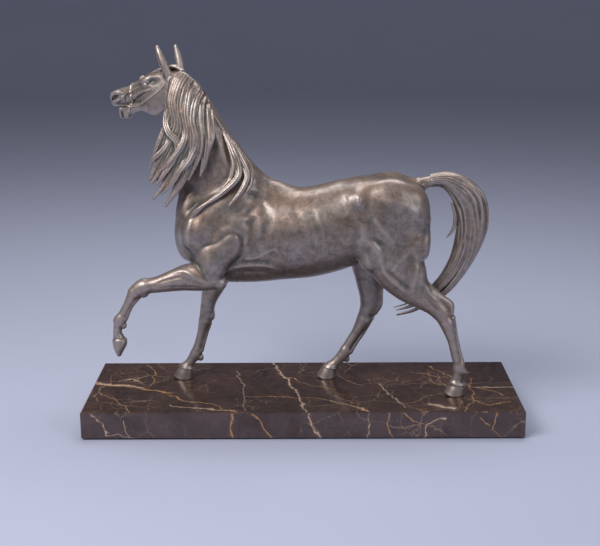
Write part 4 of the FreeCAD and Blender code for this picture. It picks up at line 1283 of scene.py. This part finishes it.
def vein_distance(nodes, spot, veins):
    """How far each point (x, y, 1) lies from the nearest vein, as a share of that vein's half-width."""
    nearest = None
    for points, width, _ in veins:
        line = None
        for (ax, ay), (bx, by) in zip(points[:-1], points[1:]):
            length = math.hypot(bx - ax, by - ay)
            dx, dy = (bx - ax) / length, (by - ay) / length
            middle = 0.5 * (dx * (ax + bx) + dy * (ay + by))
            aside = nodes.dot(spot, (-dy, dx, dy * ax - dx * ay))
            along = nodes.math("SUBTRACT", nodes.dot(spot, (dx, dy, -middle)), 0.5 * length)
            gap = nodes.math("MAXIMUM", aside, along)
            line = gap if line is None else nodes.math("MINIMUM", line, gap)
        near = nodes.math("DIVIDE", line, width)
        nearest = near if nearest is None else nodes.math("MINIMUM", nearest, near)
    return nearest


def marble():
    """Polished brown marble: clouded ground, cream and orange veins, hairline cracks and small flecks."""
    nodes = Nodes("brown_marble")
    place = nodes.place()
    drift = nodes.add("ShaderNodeTexNoise", Vector=place, Scale=38.0, Detail=5.0, Roughness=0.6)
    centred = nodes.add("ShaderNodeVectorMath", {"operation": "SUBTRACT"}, _0=drift.outputs["Color"],
                        _1=(0.5, 0.5, 0.5)).outputs[0]
    pushed = nodes.add("ShaderNodeVectorMath", {"operation": "SCALE"}, _0=centred, Scale=VEIN_PUSH).outputs[0]
    warped = nodes.add("ShaderNodeVectorMath", {"operation": "ADD"}, _0=place, _1=pushed).outputs[0]

    cloud = nodes.noise(22.0, 6.0, 0.62, 1.2)
    grain = nodes.noise(190.0, 6.0, 0.68, 0.5)
    up = nodes.add("ShaderNodeSeparateXYZ",
                   _0=nodes.add("ShaderNodeNewGeometry").outputs["Normal"]).outputs["Z"]
    on_top = nodes.span(up, 0.6, 0.8)
    # The sides get a lighter, more purple copy of the ground than the top: a painted reflection on the polished
    # sides.
    dark = nodes.mix(on_top, (0.048, 0.034, 0.038, 1.0), (0.021, 0.0095, 0.0068, 1.0))
    pale = nodes.mix(on_top, (0.094, 0.07, 0.077, 1.0), (0.062, 0.032, 0.0235, 1.0))
    ground = nodes.mix(nodes.span(cloud, 0.32, 0.68), dark, pale)
    ground = nodes.mix(nodes.span(grain, 0.42, 0.72, 0.0, 0.55), ground, (0.1, 0.062, 0.05, 1.0))

    cracks = nodes.noise(260.0, 3.0, 0.6)
    parts = nodes.add("ShaderNodeSeparateXYZ", _0=warped)
    across = nodes.mix_value(on_top, nodes.math("ADD", parts.outputs["Z"], FRONT_SHIFT), parts.outputs["Y"])
    spot = nodes.add("ShaderNodeCombineXYZ", X=parts.outputs["X"], Y=across, Z=1.0).outputs[0]
    veins = [([(x * MM, y * MM) for x, y in points], width * MM, warmth) for points, width,
             warmth in TOP_VEINS]
    veins += [([(x * MM, z * MM + FRONT_SHIFT) for x, z in points], width * MM, warmth)
              for points, width, warmth in FRONT_VEINS]
    for warm_low, warm_high, tint in ((0.0, VEIN_WARM, CREAM), (VEIN_WARM, math.inf, ORANGE)):
        near = vein_distance(nodes, spot, [vein for vein in veins if warm_low <= vein[2] < warm_high])
        worn = nodes.math("MULTIPLY", near, nodes.span(cracks, 0.3, 0.7, 0.6, 1.9))
        ground = nodes.mix(nodes.span(worn, 0.35, 1.1, 0.85, 0.0), ground, tint)
        ground = nodes.mix(nodes.span(worn, 0.8, 3.0, 0.1, 0.0), ground, tint)

    for size, edge, patch, strength in ((22.0, 0.018, 13.0, 0.6), (48.0, 0.026, 26.0, 0.42)):
        web = nodes.add("ShaderNodeTexVoronoi", {"feature": "DISTANCE_TO_EDGE"}, Vector=warped, Scale=size)
        hair = nodes.math("MULTIPLY", nodes.span(web.outputs["Distance"], 0.0, edge, 1.0, 0.0),
                          nodes.span(nodes.noise(patch, 2.0), 0.5, 0.62))
        hair = nodes.math("MULTIPLY", hair, nodes.span(cracks, 0.35, 0.6, 0.3, strength))
        ground = nodes.mix(hair, ground, (0.42, 0.27, 0.17, 1.0))
    fleck = nodes.add("ShaderNodeTexVoronoi", Vector=warped, Scale=420.0, Randomness=1.0)
    dots = nodes.math("MULTIPLY", nodes.span(fleck.outputs["Distance"], 0.1, 0.2, 1.0, 0.0),
                      nodes.span(nodes.noise(75.0, 3.0), 0.56, 0.66))
    ground = nodes.mix(nodes.math("MULTIPLY", dots, 0.55), ground, (0.45, 0.37, 0.3, 1.0))
    nodes.shade(Base_Color=ground, Roughness=nodes.span(grain, 0.3, 0.8, 0.12, 0.24), Specular_IOR_Level=0.3,
                Coat_Weight=0.08, Coat_Roughness=0.08, Normal=nodes.bump(grain, 0.06, 0.0002))
    return nodes.material


def steel():
    """Turned zinc-plated steel."""
    nodes = Nodes("turned_steel")
    turned = nodes.noise(1400.0, 2.0, 0.5)
    cloud = nodes.noise(120.0, 3.0)
    nodes.shade(Base_Color=nodes.mix(cloud, (0.46, 0.46, 0.47, 1.0), (0.62, 0.61, 0.6, 1.0)), Metallic=1.0,
                Roughness=nodes.span(turned, 0.3, 0.7, 0.26, 0.46), Normal=nodes.bump(turned, 0.2, 0.0001))
    return nodes.material


def felt():
    """Dark pressed felt, matted and fuzzy."""
    nodes = Nodes("pressed_felt")
    fibre = nodes.noise(1500.0, 6.0, 0.7, 1.5)
    tuft = nodes.noise(260.0, 4.0, 0.6, 0.8)
    colour = nodes.mix(nodes.span(fibre, 0.35, 0.7), (0.016, 0.017, 0.018, 1.0), (0.065, 0.066, 0.07, 1.0))
    colour = nodes.mix(nodes.span(tuft, 0.4, 0.7, 0.0, 0.5), colour, (0.05, 0.045, 0.045, 1.0))
    nodes.shade(Base_Color=colour, Roughness=nodes.span(fibre, 0.3, 0.7, 0.88, 1.0), Sheen_Weight=0.4,
                Sheen_Roughness=0.5, Normal=nodes.bump(nodes.math("ADD", fibre, tuft), 0.6, 0.0004))
    return nodes.material


PAD_SIDES = 96
PAD_FUZZ = 0.985


def felt_pad(node):
    """A pressed felt pad in the space of its CAD node, with soft rounded edges."""
    low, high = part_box(node)
    centre, radius, thick = (low + high) / 2.0, (high.x - low.x) / 2.0, high.z - low.z
    profile = [(0.5, low.z), (0.9, low.z), (0.975, low.z + 0.12 * thick), (1.0, low.z + 0.45 * thick),
               (0.995, low.z + 0.8 * thick), (0.97, high.z)]
    dice = np.random.default_rng(5)
    clay = bmesh.new()
    rings = []
    angles = [2 * math.pi * i / PAD_SIDES for i in range(PAD_SIDES)]
    for share, height in profile:
        fuzz = dice.uniform(PAD_FUZZ, 1.0, PAD_SIDES)
        rings.append([clay.verts.new((centre.x + radius * share * trim * math.cos(angle),
                                      centre.y + radius * share * trim * math.sin(angle), height))
                      for trim, angle in zip(fuzz, angles)])
    for lower, upper in zip(rings[:-1], rings[1:]):
        for i in range(PAD_SIDES):
            clay.faces.new((lower[i], lower[(i + 1) % PAD_SIDES], upper[(i + 1) % PAD_SIDES], upper[i]))
    clay.faces.new(rings[0][::-1])
    clay.faces.new(rings[-1])
    return object_of(clay, node + "_felt")


for name, piece in castings.items():
    piece.data.materials.append(bronze_finish)
    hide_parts(name)
    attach(piece, "root")
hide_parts("belly_core_plug", "chest_core_plug")
halter_piece.data.materials.append(halter_finish)
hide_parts("halter")
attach(halter_piece, "root")

steel_finish, felt_finish, marble_finish = steel(), felt(), marble()
pin_finish = bronze("pin_patina", *PIN_COLOURS)
finishes = {"base": marble_finish, "pin": pin_finish, "stud": steel_finish, "washer": steel_finish,
            "nut": steel_finish}
for name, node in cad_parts.items():
    kind = name.rpartition("_")[2]
    if kind == "pad":
        pad = felt_pad(name)
        pad.data.materials.append(felt_finish)
        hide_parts(name)
        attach(pad, "root")
    elif kind in finishes:
        for slot in node.material_slots:
            slot.material = finishes[kind]


# ------------------------------------------------------------------ stage, light and camera
# The floor's flat radius and the radius of the curve up its edge, in metres.
FLOOR_FLAT = 3.2
FLOOR_CURVE = 1.8
FLOOR_STEPS = 24
FLOOR_SIDES = 96
FLOOR_MIDDLE = 0.02
FLOOR_COLOURS = ((0.42, 0.45, 0.59, 1.0), (0.45, 0.48, 0.62, 1.0))
FLOOR_ROUGHNESS = 0.75


def make_floor():
    """A pale floor that curves up into a pale wall all round."""
    profile = [(FLOOR_MIDDLE, 0.0)]
    for angle in np.linspace(0.0, math.pi / 2.0, FLOOR_STEPS):
        profile.append((FLOOR_FLAT + FLOOR_CURVE * math.sin(angle), FLOOR_CURVE * (1.0 - math.cos(angle))))
    clay = bmesh.new()
    rings = [[clay.verts.new((radius * math.cos(2 * math.pi * i / FLOOR_SIDES),
                              radius * math.sin(2 * math.pi * i / FLOOR_SIDES), height))
              for i in range(FLOOR_SIDES)] for radius, height in profile]
    clay.faces.new(rings[0])
    for inner, outer in zip(rings[:-1], rings[1:]):
        for i in range(FLOOR_SIDES):
            clay.faces.new((inner[i], outer[i], outer[(i + 1) % FLOOR_SIDES], inner[(i + 1) % FLOOR_SIDES]))
    floor = object_of(clay, "floor")
    nodes = Nodes("pale_floor")
    nodes.shade(Base_Color=nodes.mix(nodes.noise(3.0, 3.0), *FLOOR_COLOURS), Roughness=FLOOR_ROUGHNESS)
    floor.data.materials.append(nodes.material)
    return floor


# Soft lights: name, place, what it faces, size, power and colour.
LIGHTS = [
    ("key_light", (-0.75, -0.8, 1.15), (-0.02, 0.0, 0.2), (0.9, 0.6), 19.0, (1.0, 0.965, 0.94)),
    ("fill_light", (1.1, -0.9, 0.7), (0.0, 0.0, 0.18), (0.8, 0.8), 5.0, (0.93, 0.95, 1.0)),
    ("top_light", (0.15, 0.35, 1.3), (0.0, 0.0, 0.2), (1.1, 0.5), 8.0, (1.0, 1.0, 1.0)),
]
WORLD_COLOUR = (0.62, 0.62, 0.68, 1.0)
WORLD_STRENGTH = 0.24


def soft_light(name, place, target, size, power, colour):
    """A rectangular light that faces a target."""
    lamp = bpy.data.lights.new(name, "AREA")
    lamp.shape = "RECTANGLE"
    lamp.size, lamp.size_y = size
    lamp.energy = power
    lamp.color = colour
    light = add_object(name, lamp)
    light.location = place
    light.rotation_mode = "QUATERNION"
    light.rotation_quaternion = (Vector(target) - Vector(place)).to_track_quat("-Z", "Y")


# The photograph's camera, in metres, millimetres of lens and degrees, fitted to the slab's corners.
CAMERA_PLACE = (0.005, -1.166, 0.436)
CAMERA_LENS = 73.87
CAMERA_SENSOR = 36.0
CAMERA_PITCH = 14.07
CAMERA_YAW = -0.36
CAMERA_ROLL = -0.32


def make_camera():
    """The camera of the photograph."""
    lens = bpy.data.cameras.new("camera")
    lens.lens = CAMERA_LENS
    lens.sensor_width = CAMERA_SENSOR
    camera = add_object("camera", lens)
    pitch, yaw, roll = (math.radians(angle) for angle in (CAMERA_PITCH, CAMERA_YAW, CAMERA_ROLL))
    ahead = Vector((math.sin(yaw) * math.cos(pitch), math.cos(yaw) * math.cos(pitch), -math.sin(pitch)))
    right = Vector((math.cos(yaw), -math.sin(yaw), 0.0))
    above = right.cross(ahead)
    turned_right = math.cos(roll) * right + math.sin(roll) * above
    turned_above = math.cos(roll) * above - math.sin(roll) * right
    place = Matrix((turned_right, turned_above, -ahead)).transposed().to_4x4()
    place.translation = CAMERA_PLACE
    camera.matrix_world = place
    bpy.context.scene.camera = camera


make_floor()
for row in LIGHTS:
    soft_light(*row)
world = bpy.data.worlds.new("studio")
world.use_nodes = True
backdrop = world.node_tree.nodes["Background"]
backdrop.inputs["Color"].default_value = WORLD_COLOUR
backdrop.inputs["Strength"].default_value = WORLD_STRENGTH
bpy.context.scene.world = world
bpy.context.scene.view_settings.view_transform = "Standard"
make_camera()
